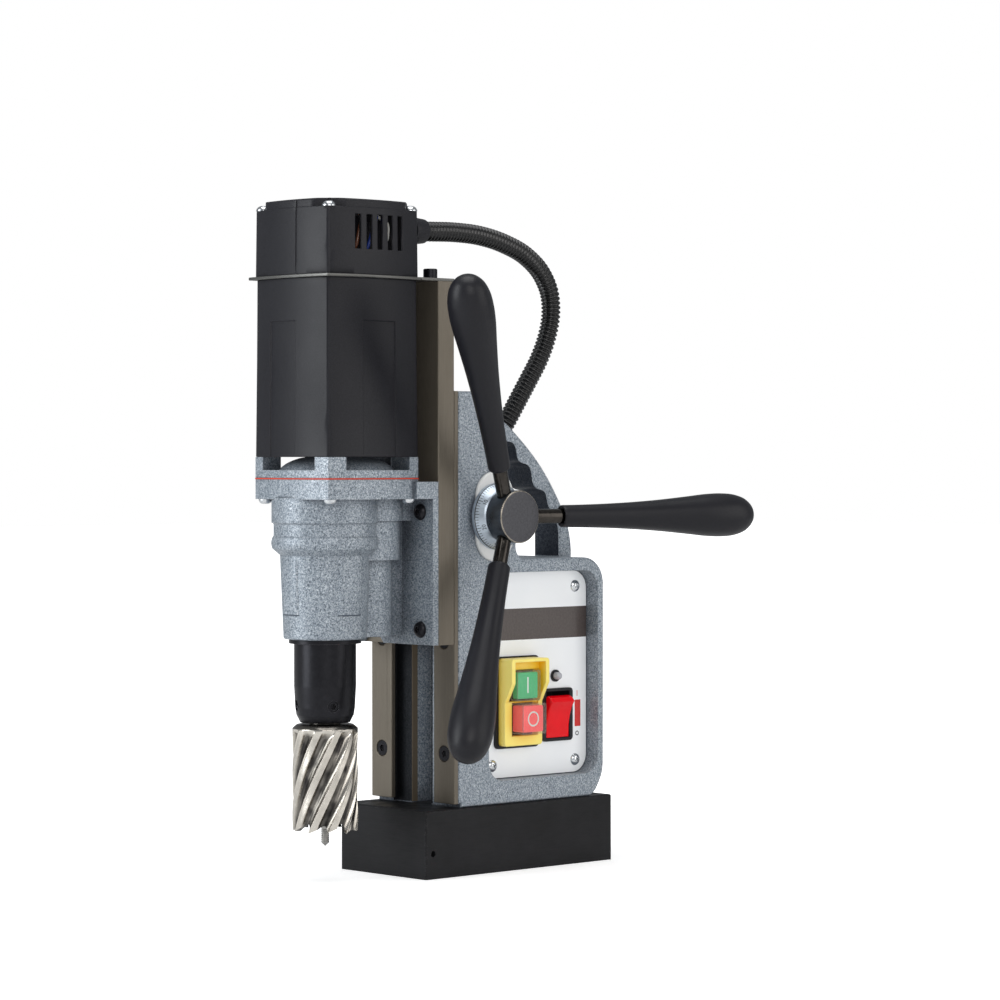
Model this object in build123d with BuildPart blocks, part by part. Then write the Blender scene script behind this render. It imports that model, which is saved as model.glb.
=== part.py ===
from build123d import *
import math
import os

# Magnetic drill press: magnet foot, frame casting, slide with power head, capstan handle.
# Millimetres.  Origin at the centre of the magnet's underside, +Z up.
# -Y is the front, where the spindle is; +X is the right, with the capstan handle and switches.

os.makedirs("parts", exist_ok=True)

# ---------------------------------------------------------------------------
# Shared dimensions
# ---------------------------------------------------------------------------
# magnet foot
MAGNET_X, MAGNET_Y, MAGNET_Z = 80.0, 160.0, 42.0

# frame casting
FRAME_HALF = 39.0                # half width, also of the slide
FRAME_FRONT = -52.4              # machined front face
FRAME_BASE = 44.5                # bottom edge of the front column
COLUMN_TOP = 298.9
HOUSE_TOP, HOUSE_REAR = 194.5, 74.0
HOUSE_CORNER_R = 17.0            # upper rear corner
HOUSE_FLOOR = 50.0               # floor of the electrical space
WALL_X = -34.0                   # inner face of the left wall
PANEL_X, PANEL_T = 28.5, 1.6     # outer face and thickness of the panel plate
PANEL_BACK = PANEL_X - PANEL_T
RECESS_Y, RECESS_Z = (-26.6, 68.5), (56.6, 186.3)        # limits of the panel recess
RECESS_CENTRE = (sum(RECESS_Y) / 2, sum(RECESS_Z) / 2)
RECESS_SIZE = (RECESS_Y[1] - RECESS_Y[0], RECESS_Z[1] - RECESS_Z[0])
RECESS_R = 12.0

# guides
STRIP_IN, STRIP_OUT, STRIP_T = 19.7, 38.9, 3.1
CHANNEL_HALF, CHANNEL_BACK = 24.0, -47.5     # undercut channel
SLOT_HALF, SLOT_BACK = 9.0, -32.4            # rack slot
RUN = 0.07                                   # running clearance of the slide

# slide
SLIDE_Z0, SLIDE_TOP = 142.9, 366.0
SLIDE_FRONT, SLIDE_REAR = -68.8, -55.55

# tooth form shared by the gears and the rack
PRESSURE = math.radians(25)
ADDENDUM, DEDENDUM = 0.8, 1.05   # in modules
FLANK_STEPS = 4

# rack pinion, on an axis along X
PINION_Y, PINION_Z = -22.6, 221.5
PINION_AT = (PINION_Y, PINION_Z)
PINION_MODULE, PINION_TEETH = 1.5, 16
PINION_PITCH_R = PINION_MODULE * PINION_TEETH / 2
PINION_THINNING = 0.12
SHAFT_R = 7.5
BUSH_SEAT_R = 9.0
POCKET_R = 14.0

# vertical axes of the power head (x = 0), set out by the two gear stages
MOTOR_MODULE, ARMATURE_TEETH, WHEEL_TEETH = 0.95, 10, 30
SPINDLE_MODULE, COUNTER_TEETH, SPINDLE_TEETH = 1.0, 13, 44
COUNTER_Y = -98.1
MOTOR_Y = COUNTER_Y - MOTOR_MODULE * (ARMATURE_TEETH + WHEEL_TEETH) / 2
SPINDLE_Y = COUNTER_Y - SPINDLE_MODULE * (COUNTER_TEETH + SPINDLE_TEETH) / 2
SPINDLE_AXIS = Axis((0, SPINDLE_Y, 0), (0, 0, 1))
MOTOR_AT, COUNTER_AT = (0, MOTOR_Y), (0, COUNTER_Y)

# motor outline
CORNER_X, CORNER_Y = 34.5, 35.8  # corner offsets
SIDE_X, SIDE_Y = 39.2, 40.6      # mid-side offsets

# levels of the power head
NOSE_Z, SHOULDER_Z, GASKET_Z, COVER_TOP = 147.8, 232.7, 244.8, 258.3
GASKET_T, SUPPORT_T = 0.8, 1.8
COVER_Z = GASKET_Z + GASKET_T
CAP_Z, CAP_TOP = SLIDE_TOP + SUPPORT_T, 415.7


# ---------------------------------------------------------------------------
# Helpers
# ---------------------------------------------------------------------------
def at_x(x):
    """YZ plane at x, facing +X."""
    return Plane.YZ.offset(x)


def at_y(y):
    """XZ plane at y, facing -Y."""
    return Plane.XZ.offset(-y)


def at_z(z):
    """XY plane at z, facing +Z."""
    return Plane.XY.offset(z)


def grid(first, second):
    """Points at every crossing of two sets of coordinates."""
    return [(a, b) for b in second for a in first]


def discs(radius, *points, mode=Mode.ADD):
    """Circles at points of the current sketch."""
    with Locations(*points):
        Circle(radius, mode=mode)


def rect(x0, x1, y0, y1, mode=Mode.ADD):
    """Rectangle between limits in the current sketch."""
    with Locations(((x0 + x1) / 2, (y0 + y1) / 2)):
        Rectangle(x1 - x0, y1 - y0, mode=mode)


def cushion(corner_grow=0.0, side_grow=0.0):
    """Motor outline in the current line: four bowed sides meeting at soft corners."""
    cx, cy = CORNER_X + corner_grow, CORNER_Y + corner_grow
    bx, by = SIDE_X + side_grow, SIDE_Y + side_grow
    front, rear = MOTOR_Y - cy, MOTOR_Y + cy
    ThreePointArc((-cx, front), (0, MOTOR_Y - by), (cx, front))
    ThreePointArc((cx, front), (bx, MOTOR_Y), (cx, rear))
    ThreePointArc((cx, rear), (0, MOTOR_Y + by), (-cx, rear))
    ThreePointArc((-cx, rear), (-bx, MOTOR_Y), (-cx, front))


def gear_outline(teeth, module, centre, phase, thinning=0.10):
    """Points of a stub involute gear, a tooth centred on angle phase (radians)."""
    pitch_r = module * teeth / 2
    base_r = pitch_r * math.cos(PRESSURE)
    tip_r = pitch_r + ADDENDUM * module
    root_r = pitch_r - DEDENDUM * module
    half_tooth = math.pi / (2 * teeth) - thinning / (2 * pitch_r)
    pitch_involute = math.tan(PRESSURE) - PRESSURE
    start_r = max(base_r, root_r + 0.05)
    flank = []                   # (radius, half angle of the tooth there)
    for i in range(FLANK_STEPS + 1):
        r = start_r + (tip_r - start_r) * i / FLANK_STEPS
        roll = math.acos(min(1.0, base_r / r))
        flank.append((r, half_tooth + pitch_involute - (math.tan(roll) - roll)))
    polar = []
    for k in range(teeth):
        middle = phase + 2 * math.pi * k / teeth
        polar.append((root_r, middle - flank[0][1]))
        polar += [(r, middle - half) for r, half in flank]
        polar += [(r, middle + half) for r, half in reversed(flank)]
        polar.append((root_r, middle + flank[0][1]))
    return [(centre[0] + r * math.cos(a), centre[1] + r * math.sin(a)) for r, a in polar]


def save(builder, name):
    builder.part.label = name
    export_step(builder.part, "parts/" + name + ".step")


# ===========================================================================
# Magnet foot
# ===========================================================================
COIL_X, COIL_Y, COIL_W, COIL_DEPTH = 70.0, 150.0, 17.0, 30.0     # ring-shaped groove
COIL_OUTER_R, COIL_INNER_R = 12.0, 4.0
COIL_GAP = 0.05                  # at the side walls of the groove
COIL_END_GAP = 0.2               # above and below the winding
MAGNET_EDGE = 0.8
MAGNET_BOLTS = grid((-18, 18), (-4, 46))
BOLT_DEPTH = 10.5
BOLT_HEAD_H = 8
SIDE_HOLE, SIDE_HOLE_DEPTH = (-74, 15.5), 4.2            # (y, z)

with BuildPart() as magnet_housing:
    with BuildSketch(Plane.XY):
        Rectangle(MAGNET_X, MAGNET_Y)
    extrude(amount=MAGNET_Z)
    chamfer(magnet_housing.edges().filter_by(Axis.Z), MAGNET_EDGE)
    chamfer(magnet_housing.faces().sort_by(Axis.Z)[-1].edges(), MAGNET_EDGE)
    with BuildSketch(Plane.XY):
        RectangleRounded(COIL_X, COIL_Y, COIL_OUTER_R)
        RectangleRounded(COIL_X - 2 * COIL_W, COIL_Y - 2 * COIL_W, COIL_INNER_R,
                         mode=Mode.SUBTRACT)
    extrude(amount=COIL_DEPTH, mode=Mode.SUBTRACT)
    # tapped holes for the frame bolts
    with BuildSketch(at_z(MAGNET_Z)):
        discs(4.0, *MAGNET_BOLTS)
    extrude(amount=-BOLT_DEPTH - 0.5, mode=Mode.SUBTRACT)
    # tapped holes in the sides for a guard bracket
    for side in (1, -1):
        with BuildSketch(at_x(side * MAGNET_X / 2)):
            discs(2.0, SIDE_HOLE)
        extrude(amount=-side * SIDE_HOLE_DEPTH, mode=Mode.SUBTRACT)
save(magnet_housing, "magnet_housing")

with BuildPart() as magnet_coil:
    with BuildSketch(at_z(COIL_END_GAP)):
        RectangleRounded(COIL_X - 2 * COIL_GAP, COIL_Y - 2 * COIL_GAP, COIL_OUTER_R - COIL_GAP)
        RectangleRounded(COIL_X - 2 * COIL_W + 2 * COIL_GAP, COIL_Y - 2 * COIL_W + 2 * COIL_GAP,
                         COIL_INNER_R + COIL_GAP, mode=Mode.SUBTRACT)
    extrude(amount=COIL_DEPTH - 2 * COIL_END_GAP)
save(magnet_coil, "magnet_coil")

# socket head bolts standing on the floor of the frame casting
with BuildPart() as magnet_bolts:
    with BuildSketch(at_z(MAGNET_Z - BOLT_DEPTH)):
        discs(3.97, *MAGNET_BOLTS)
    extrude(amount=HOUSE_FLOOR - MAGNET_Z + BOLT_DEPTH)
    with BuildSketch(at_z(HOUSE_FLOOR)):
        discs(6.5, *MAGNET_BOLTS)
    extrude(amount=BOLT_HEAD_H)
    with BuildSketch(at_z(HOUSE_FLOOR + BOLT_HEAD_H)):
        with Locations(*MAGNET_BOLTS):
            RegularPolygon(3.4, 6)
    extrude(amount=-4, mode=Mode.SUBTRACT)
save(magnet_bolts, "magnet_bolts")

# ===========================================================================
# Frame casting
# ===========================================================================
HANDLE_HALF = 11.0               # half width of the carrying handle
HANDLE_FOOT_Z = 190.0
# carrying handle outlines, (y, z): outer side downwards, inner side upwards
HANDLE_OUTER = [(-24.0, 298.0), (7.9, 283.7), (25.4, 270.5), (43.0, 253.9), (58.1, 234.0),
                (68.5, 214.0), (71.1, HANDLE_FOOT_Z)]
HANDLE_INNER = [(60.4, 208.0), (59.6, 214.0), (56.0, 222.0), (52.0, 226.0), (50.0, 231.0),
                (47.6, 236.3), (43.0, 237.6), (38.6, 240.0), (36.4, 247.0), (33.9, 252.6),
                (29.0, 254.4), (24.9, 256.4), (23.2, 261.5), (20.6, 266.8), (15.0, 268.2),
                (0.0, 267.0), (-20.0, 262.0)]
BOSS_Y = -2.9                    # rear face of the pinion boss
COLUMN_FOOT_Z = HOUSE_TOP - 5    # the column overlaps the housing
PANEL_SCREWS = grid((-14.3, 58.0), (176.0, 65.0))        # (y, z)
STRIP_SCREW_X = 29.1
STRIP_SCREW_Z = [75.2, 145.0, 215.0, 285.0]
corner_inset = HOUSE_CORNER_R * (1 - math.cos(math.pi / 4))

with BuildPart() as frame_casting:
    # lower housing with its rounded rear
    with BuildSketch(at_x(-FRAME_HALF)):
        with BuildLine():
            Polyline((FRAME_FRONT, FRAME_BASE), (-50.0, FRAME_BASE), (-50.0, MAGNET_Z),
                     (62.0, MAGNET_Z))
            Spline((62.0, MAGNET_Z), (69.5, 49.0), (HOUSE_REAR, 62.0),
                   tangents=((1.0, 0.35), (0.05, 1.0)))
            Line((HOUSE_REAR, 62.0), (HOUSE_REAR, HOUSE_TOP - HOUSE_CORNER_R))
            ThreePointArc((HOUSE_REAR, HOUSE_TOP - HOUSE_CORNER_R),
                          (HOUSE_REAR - corner_inset, HOUSE_TOP - corner_inset),
                          (HOUSE_REAR - HOUSE_CORNER_R, HOUSE_TOP))
            Polyline((HOUSE_REAR - HOUSE_CORNER_R, HOUSE_TOP), (FRAME_FRONT, HOUSE_TOP),
                     (FRAME_FRONT, FRAME_BASE))
        make_face()
    extrude(amount=2 * FRAME_HALF)
    # column with the deeper pinion boss
    with BuildSketch(at_x(-FRAME_HALF)):
        with BuildLine():
            Polyline((FRAME_FRONT, COLUMN_FOOT_Z), (FRAME_FRONT, COLUMN_TOP), (-24.0, COLUMN_TOP))
            Spline((-24.0, COLUMN_TOP), (-18.2, 290.0), (-16.4, 274.0), (-15.8, 252.0))
            Spline((-15.8, 252.0), (-13.2, 243.4), (-6.0, 239.4), (BOSS_Y, 232.0),
                   tangents=((0.0, -1.0), (0.0, -1.0)))
            Polyline((BOSS_Y, 232.0), (BOSS_Y, 202.5))
            ThreePointArc((BOSS_Y, 202.5), (-0.6, 196.9), (5.1, HOUSE_TOP))
            Polyline((5.1, HOUSE_TOP), (5.1, COLUMN_FOOT_Z), (FRAME_FRONT, COLUMN_FOOT_Z))
        make_face()
    extrude(amount=2 * FRAME_HALF)
    # outer edges of the casting are rounded
    fillet(frame_casting.edges().filter_by(
        lambda e: abs(abs(e.center().X) - FRAME_HALF) < 0.01), 1.8)
    # carrying handle
    with BuildSketch(at_x(-HANDLE_HALF)):
        with BuildLine():
            Spline(*HANDLE_OUTER)
            Polyline(HANDLE_OUTER[-1], (HANDLE_INNER[0][0], HANDLE_FOOT_Z), HANDLE_INNER[0])
            Spline(*HANDLE_INNER)
            Line(HANDLE_INNER[-1], HANDLE_OUTER[0])
        make_face()
    extrude(amount=2 * HANDLE_HALF)
    # recess for the panel plate
    with BuildSketch(at_x(FRAME_HALF)):
        with Locations(RECESS_CENTRE):
            RectangleRounded(*RECESS_SIZE, RECESS_R)
    extrude(amount=-(FRAME_HALF - PANEL_BACK), mode=Mode.SUBTRACT)
    # electrical space behind the plate, with bosses for its screws
    with BuildSketch(at_x(PANEL_BACK)):
        with Locations(((-20 + 62) / 2, (HOUSE_FLOOR + 182) / 2)):
            RectangleRounded(82, 182 - HOUSE_FLOOR, 8)
        discs(6.0, *PANEL_SCREWS, mode=Mode.SUBTRACT)
    extrude(amount=-(PANEL_BACK - WALL_X), mode=Mode.SUBTRACT)
    # shallow casting relief on the plain side
    with BuildSketch(at_x(-FRAME_HALF)):
        with Locations(RECESS_CENTRE):
            RectangleRounded(*RECESS_SIZE, RECESS_R)
    extrude(amount=1.6, mode=Mode.SUBTRACT)
    # undercut channel and rack slot
    with BuildSketch(at_z(MAGNET_Z)):
        rect(-CHANNEL_HALF, CHANNEL_HALF, FRAME_FRONT, CHANNEL_BACK)
        rect(-SLOT_HALF, SLOT_HALF, FRAME_FRONT, SLOT_BACK)
    extrude(amount=COLUMN_TOP - MAGNET_Z, mode=Mode.SUBTRACT)
    # pinion pocket and the left bush seat
    with BuildSketch(at_x(-SLOT_HALF)):
        discs(POCKET_R, PINION_AT)
    extrude(amount=SLOT_HALF + FRAME_HALF, mode=Mode.SUBTRACT)
    with BuildSketch(at_x(WALL_X)):
        discs(BUSH_SEAT_R, PINION_AT)
    extrude(amount=-WALL_X - SLOT_HALF, mode=Mode.SUBTRACT)
    # holes for the strip screws, panel screws and magnet bolts
    with BuildSketch(at_y(FRAME_FRONT)):
        discs(2.5, *grid((-STRIP_SCREW_X, STRIP_SCREW_X), STRIP_SCREW_Z))
    extrude(amount=-10, mode=Mode.SUBTRACT)
    with BuildSketch(at_x(PANEL_BACK)):
        discs(1.7, *PANEL_SCREWS)
    extrude(amount=-9, mode=Mode.SUBTRACT)
    with BuildSketch(at_z(MAGNET_Z)):
        discs(4.2, *MAGNET_BOLTS)
    extrude(amount=HOUSE_FLOOR - MAGNET_Z, mode=Mode.SUBTRACT)
    # hose entry in the carrying handle
    with BuildSketch(Plane(origin=(0, 20.9, 275.6), z_dir=(0.03, -0.45, -0.89))):
        Circle(6.5)
    extrude(amount=5.5, both=True, mode=Mode.SUBTRACT)
save(frame_casting, "frame_casting")

# ===========================================================================
# Guide strips
# ===========================================================================
COUNTERBORE_DEPTH = 2.1
STRIP_HEAD_Y = FRAME_FRONT - 1.0         # underside of the screw heads
STRIP_HEAD_H = 1.8

for side, strip_name in ((-1, "guide_strip_left"), (1, "guide_strip_right")):
    strip_holes = grid([side * STRIP_SCREW_X], STRIP_SCREW_Z)
    with BuildPart() as strip:
        with BuildSketch(at_y(FRAME_FRONT)):
            with Locations((side * (STRIP_IN + STRIP_OUT) / 2, (FRAME_BASE + COLUMN_TOP) / 2)):
                Rectangle(STRIP_OUT - STRIP_IN, COLUMN_TOP - FRAME_BASE)
        extrude(amount=STRIP_T)
        chamfer(strip.faces().sort_by(Axis.Y)[0].edges().filter_by(Axis.Z), 0.4)
        with BuildSketch(at_y(FRAME_FRONT)):
            discs(2.6, *strip_holes)
        extrude(amount=STRIP_T, mode=Mode.SUBTRACT)
        with BuildSketch(at_y(FRAME_FRONT - STRIP_T)):
            discs(5.1, *strip_holes)
        extrude(amount=-COUNTERBORE_DEPTH, mode=Mode.SUBTRACT)
    save(strip, strip_name)

strip_screws = grid((-STRIP_SCREW_X, STRIP_SCREW_X), STRIP_SCREW_Z)
with BuildPart() as guide_strip_screws:
    with BuildSketch(at_y(FRAME_FRONT + 9)):
        discs(2.48, *strip_screws)
    extrude(amount=FRAME_FRONT + 9 - STRIP_HEAD_Y)
    with BuildSketch(at_y(STRIP_HEAD_Y)):
        discs(4.6, *strip_screws)
    extrude(amount=STRIP_HEAD_H)
    with BuildSketch(at_y(STRIP_HEAD_Y - STRIP_HEAD_H)):
        with Locations(*strip_screws):
            RegularPolygon(2.3, 6)
    extrude(amount=-1.4, mode=Mode.SUBTRACT)
save(guide_strip_screws, "guide_strip_screws")

# ===========================================================================
# Pinion bearing
# ===========================================================================
FLANGE_T = 2.0
SLEEVE_X = 12.0                  # left end of the flange's sleeve and of the right bush
BUSH_OUTER_R, BUSH_BORE_R = 8.98, 7.55
BUSH_END_GAP = 0.2

with BuildPart() as pinion_flange:
    with BuildSketch(at_x(FRAME_HALF)):
        with Locations(PINION_AT):
            SlotOverall(56, 31, rotation=90)
    extrude(amount=FLANGE_T)
    with BuildSketch(at_x(SLEEVE_X)):
        discs(13.96, PINION_AT)
    extrude(amount=FRAME_HALF - SLEEVE_X)
    with BuildSketch(at_x(SLEEVE_X)):
        discs(BUSH_SEAT_R, PINION_AT)
    extrude(amount=FRAME_HALF + FLANGE_T - SLEEVE_X, mode=Mode.SUBTRACT)
    chamfer(pinion_flange.faces().sort_by(Axis.X)[-1].outer_wire().edges(), 0.6)
save(pinion_flange, "pinion_flange")

with BuildPart() as pinion_bushes:
    for bush_x0, bush_x1 in ((SLEEVE_X, FRAME_HALF + FLANGE_T),
                             (WALL_X + BUSH_END_GAP, -SLOT_HALF - BUSH_END_GAP)):
        with BuildSketch(at_x(bush_x0)):
            discs(BUSH_OUTER_R, PINION_AT)
            discs(BUSH_BORE_R, PINION_AT, mode=Mode.SUBTRACT)
        extrude(amount=bush_x1 - bush_x0)
save(pinion_bushes, "pinion_bushes")

# ===========================================================================
# Panel plate and switchgear; sketch coordinates on the panel are (y, z)
# ===========================================================================
SWITCH_AT, SWITCH_SIZE = (5.5, 104.0), (30, 50)          # switch body behind the plate
FLANGE_Y, FLANGE_Z = (-13.0, 24.4), (75.4, 133.2)        # limits of the switch base flange
SWITCH_FACE = PANEL_X + 2.0
GUARD_Y, GUARD_Z = (-10.5, 22.0), (77.2, 132.2)
GUARD_LOW_X, GUARD_HIGH_X = 36.0, 42.5                   # front of the guard, below and above
BUTTON_Y = 7.1
BUTTON_W, BUTTON_H, BUTTON_BACK = 19.0, 17.6, 34.0
# name, centre height, outer face x
BUTTONS = [("start_button", 115.0, 39.2), ("stop_button", 94.3, 44.2)]
STEM_W, STEM_X = 8.0, 14.0
ROCKER_Y0, ROCKER_Y1 = 31.2, 51.4
ROCKER_W = ROCKER_Y1 - ROCKER_Y0
ROCKER_X, ROCKER_Z = 24.0, 94.6                          # rocker pivot
ROCKER_AT = ((ROCKER_Y0 + ROCKER_Y1) / 2, ROCKER_Z)
ROCKER_TILT = math.radians(12)
# rocker outline, (x, z) from the pivot before tilting
ROCKER_OUTLINE = [(9.5, -12.6), (7.7, 0.0), (9.5, 12.6), (4.0, 13.2), (-4.5, 4.0), (-4.5, -4.0),
                  (4.0, -13.2)]
LAMP_AT = (40.2, 119.3)
LAMP_BORE_R, LAMP_BACK = 2.45, PANEL_X - 6
BOARD_X, BOARD_T = -25, 1.6

with BuildPart() as panel_plate:
    with BuildSketch(at_x(PANEL_BACK)):
        with Locations(RECESS_CENTRE):
            RectangleRounded(RECESS_SIZE[0] - 1.0, RECESS_SIZE[1] - 1.0, RECESS_R - 0.5)
        discs(1.8, *PANEL_SCREWS, mode=Mode.SUBTRACT)
        with Locations(SWITCH_AT):
            Rectangle(SWITCH_SIZE[0] + 0.2, SWITCH_SIZE[1] + 0.2, mode=Mode.SUBTRACT)
        with Locations(ROCKER_AT):
            Rectangle(ROCKER_W + 3.6, 32.4, mode=Mode.SUBTRACT)
        discs(3.1, LAMP_AT, mode=Mode.SUBTRACT)
    extrude(amount=PANEL_T)
save(panel_plate, "panel_plate")

# domed screws with a cross slot
with BuildPart() as panel_screws:
    with BuildSketch(at_x(PANEL_BACK - 8)):
        discs(1.66, *PANEL_SCREWS)
    extrude(amount=8 + PANEL_T)
    for screw_y, screw_z in PANEL_SCREWS:
        origin = (0, screw_y, screw_z)
        with BuildSketch(Plane(origin=origin, x_dir=(1, 0, 0), z_dir=(0, -1, 0))):
            with BuildLine():
                Line((PANEL_X, 0), (PANEL_X, 3.9))
                ThreePointArc((PANEL_X, 3.9), (PANEL_X + 1.6, 2.6), (PANEL_X + 2.1, 0))
                Line((PANEL_X + 2.1, 0), (PANEL_X, 0))
            make_face()
        revolve(axis=Axis(origin, (1, 0, 0)))
    with BuildSketch(at_x(PANEL_X + 2.2)):
        with Locations(*PANEL_SCREWS):
            Rectangle(3.4, 0.8, rotation=30)
            Rectangle(0.8, 3.4, rotation=30)
    extrude(amount=-1.3, mode=Mode.SUBTRACT)
save(panel_screws, "panel_screws")

with BuildPart() as switch_base:
    with BuildSketch(at_x(PANEL_X)):
        with Locations((sum(FLANGE_Y) / 2, sum(FLANGE_Z) / 2)):
            RectangleRounded(FLANGE_Y[1] - FLANGE_Y[0], FLANGE_Z[1] - FLANGE_Z[0], 3)
    extrude(amount=SWITCH_FACE - PANEL_X)
    with BuildSketch(at_x(4)):
        with Locations(SWITCH_AT):
            Rectangle(*SWITCH_SIZE)
    extrude(amount=PANEL_X - 4)
    # guides for the button stems
    with BuildSketch(at_x(SWITCH_FACE)):
        with Locations(*[(BUTTON_Y, centre_z) for _, centre_z, _ in BUTTONS]):
            Rectangle(STEM_W + 0.1, STEM_W + 0.1)
    extrude(amount=-21, mode=Mode.SUBTRACT)
save(switch_base, "switch_base")

with BuildPart() as switch_guard:
    with BuildSketch(at_y(GUARD_Y[0])):
        with BuildLine():
            Polyline((SWITCH_FACE, GUARD_Z[0]), (GUARD_LOW_X, GUARD_Z[0]), (GUARD_LOW_X, 104.6),
                     (GUARD_HIGH_X, 116.8), (GUARD_HIGH_X, GUARD_Z[1]),
                     (SWITCH_FACE, GUARD_Z[1]), close=True)
        make_face()
    extrude(amount=-(GUARD_Y[1] - GUARD_Y[0]))
    fillet(switch_guard.edges().filter_by(Axis.X), 2.2)
    # openings round the two buttons
    with BuildSketch(at_x(SWITCH_FACE)):
        rect(-7.2, 19.0, 104.9, 130.0)
        with Locations((BUTTON_Y, 94.6)):
            Rectangle(22.6, 22.4)
    extrude(amount=13, mode=Mode.SUBTRACT)
save(switch_guard, "switch_guard")

for button_name, centre_z, face_x in BUTTONS:
    button_at = (BUTTON_Y, centre_z)
    with BuildPart() as button:
        with BuildSketch(at_x(BUTTON_BACK)):
            with Locations(button_at):
                RectangleRounded(BUTTON_W, BUTTON_H, 1.0)
        extrude(amount=face_x - BUTTON_BACK)
        with BuildSketch(at_x(STEM_X)):
            with Locations(button_at):
                Rectangle(STEM_W, STEM_W)
        extrude(amount=BUTTON_BACK - STEM_X)
    save(button, button_name)
    # cap over the button, open at the back
    with BuildPart() as button_cover:
        with BuildSketch(at_x(BUTTON_BACK)):
            with Locations(button_at):
                RectangleRounded(BUTTON_W + 1.7, BUTTON_H + 1.7, 1.6)
        extrude(amount=face_x + 0.9 - BUTTON_BACK)
        with BuildSketch(at_x(BUTTON_BACK)):
            with Locations(button_at):
                RectangleRounded(BUTTON_W + 0.1, BUTTON_H + 0.1, 1.0)
        extrude(amount=face_x + 0.02 - BUTTON_BACK, mode=Mode.SUBTRACT)
    save(button_cover, button_name + "_cover")

with BuildPart() as rocker_bezel:
    with BuildSketch(at_x(PANEL_X)):
        with Locations(ROCKER_AT):
            RectangleRounded(26.2, 33.6, 2.6)
    extrude(amount=1.9)
    with BuildSketch(at_x(8)):
        with Locations(ROCKER_AT):
            Rectangle(ROCKER_W + 3.4, 32.2)
    extrude(amount=PANEL_X - 8)
    with BuildSketch(at_x(14)):
        with Locations(ROCKER_AT):
            Rectangle(ROCKER_W + 0.4, 29.8)
    extrude(amount=17, mode=Mode.SUBTRACT)
    # pivot pins
    for pin_y in (ROCKER_Y0 - 0.2, ROCKER_Y1 + 0.2 - 1.6):
        with BuildSketch(Plane(origin=(ROCKER_X, pin_y, ROCKER_Z), z_dir=(0, 1, 0))):
            Circle(1.5)
        extrude(amount=1.6)
save(rocker_bezel, "rocker_bezel")

tilt_cos, tilt_sin = math.cos(ROCKER_TILT), math.sin(ROCKER_TILT)
with BuildPart() as rocker:
    with BuildSketch(at_y(ROCKER_Y0)):
        with BuildLine():
            Polyline(*[(ROCKER_X + x * tilt_cos + z * tilt_sin,
                        ROCKER_Z - x * tilt_sin + z * tilt_cos) for x, z in ROCKER_OUTLINE],
                     close=True)
        make_face()
    extrude(amount=-ROCKER_W)
    # sockets for the pivot pins
    for end_y, inward in ((ROCKER_Y0, 1), (ROCKER_Y1, -1)):
        with BuildSketch(Plane(origin=(ROCKER_X, end_y, ROCKER_Z), z_dir=(0, inward, 0))):
            Circle(1.56)
        extrude(amount=1.5, mode=Mode.SUBTRACT)
save(rocker, "rocker")

with BuildPart() as lamp_bezel:
    with BuildSketch(at_x(PANEL_X)):
        discs(3.8, LAMP_AT)
        discs(LAMP_BORE_R, LAMP_AT, mode=Mode.SUBTRACT)
    extrude(amount=1.2)
    with BuildSketch(at_x(LAMP_BACK)):
        discs(3.05, LAMP_AT)
        discs(LAMP_BORE_R, LAMP_AT, mode=Mode.SUBTRACT)
    extrude(amount=PANEL_X - LAMP_BACK)
save(lamp_bezel, "lamp_bezel")

with BuildPart() as lamp_lens:
    with BuildSketch(at_x(LAMP_BACK)):
        discs(2.4, LAMP_AT)
    extrude(amount=11.2)
    fillet(lamp_lens.faces().sort_by(Axis.X)[-1].edges(), 1.7)
save(lamp_lens, "lamp_lens")

# board with three block components, on spacers from the left wall
with BuildPart() as control_board:
    with BuildSketch(at_x(BOARD_X)):
        with Locations((22, 116)):
            Rectangle(58, 88)
    extrude(amount=BOARD_T)
    with BuildSketch(at_x(BOARD_X + BOARD_T)):
        with Locations((5, 145), (35, 100), (40, 145)):
            Rectangle(18, 22)
    extrude(amount=14)
    with BuildSketch(at_x(WALL_X)):
        discs(3, *grid((-2, 46), (77, 155)))
    extrude(amount=BOARD_X - WALL_X)
save(control_board, "control_board")

# ===========================================================================
# Carriage: slide, rack
# ===========================================================================
BRACKET_SCREWS = grid((-27.4, 27.4), (224.6, 152.4))     # (x, z)
TOP_SCREWS = [(-24, -62.0), (24, -62.0)]                 # (x, y)

# front plate, neck between the strips and wider tongue behind them
with BuildPart() as slide_plate:
    with BuildSketch(at_z(SLIDE_Z0)):
        rect(-FRAME_HALF, FRAME_HALF, SLIDE_FRONT, SLIDE_REAR)
        rect(-CHANNEL_HALF + RUN, CHANNEL_HALF - RUN, FRAME_FRONT + RUN, CHANNEL_BACK - RUN)
        rect(-STRIP_IN + RUN, STRIP_IN - RUN, SLIDE_REAR - 1, CHANNEL_BACK - RUN)
    extrude(amount=SLIDE_TOP - SLIDE_Z0)
    chamfer(slide_plate.edges().filter_by(Axis.Z).filter_by(
        lambda e: abs(abs(e.center().X) - FRAME_HALF) < 0.01), 0.5)
    # tapped holes for the gearbox bracket and the support plate
    with BuildSketch(at_y(SLIDE_FRONT)):
        discs(3.0, *BRACKET_SCREWS)
    extrude(amount=-10, mode=Mode.SUBTRACT)
    with BuildSketch(at_z(SLIDE_TOP)):
        discs(2.5, *TOP_SCREWS)
    extrude(amount=-14, mode=Mode.SUBTRACT)
save(slide_plate, "slide_plate")

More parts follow.
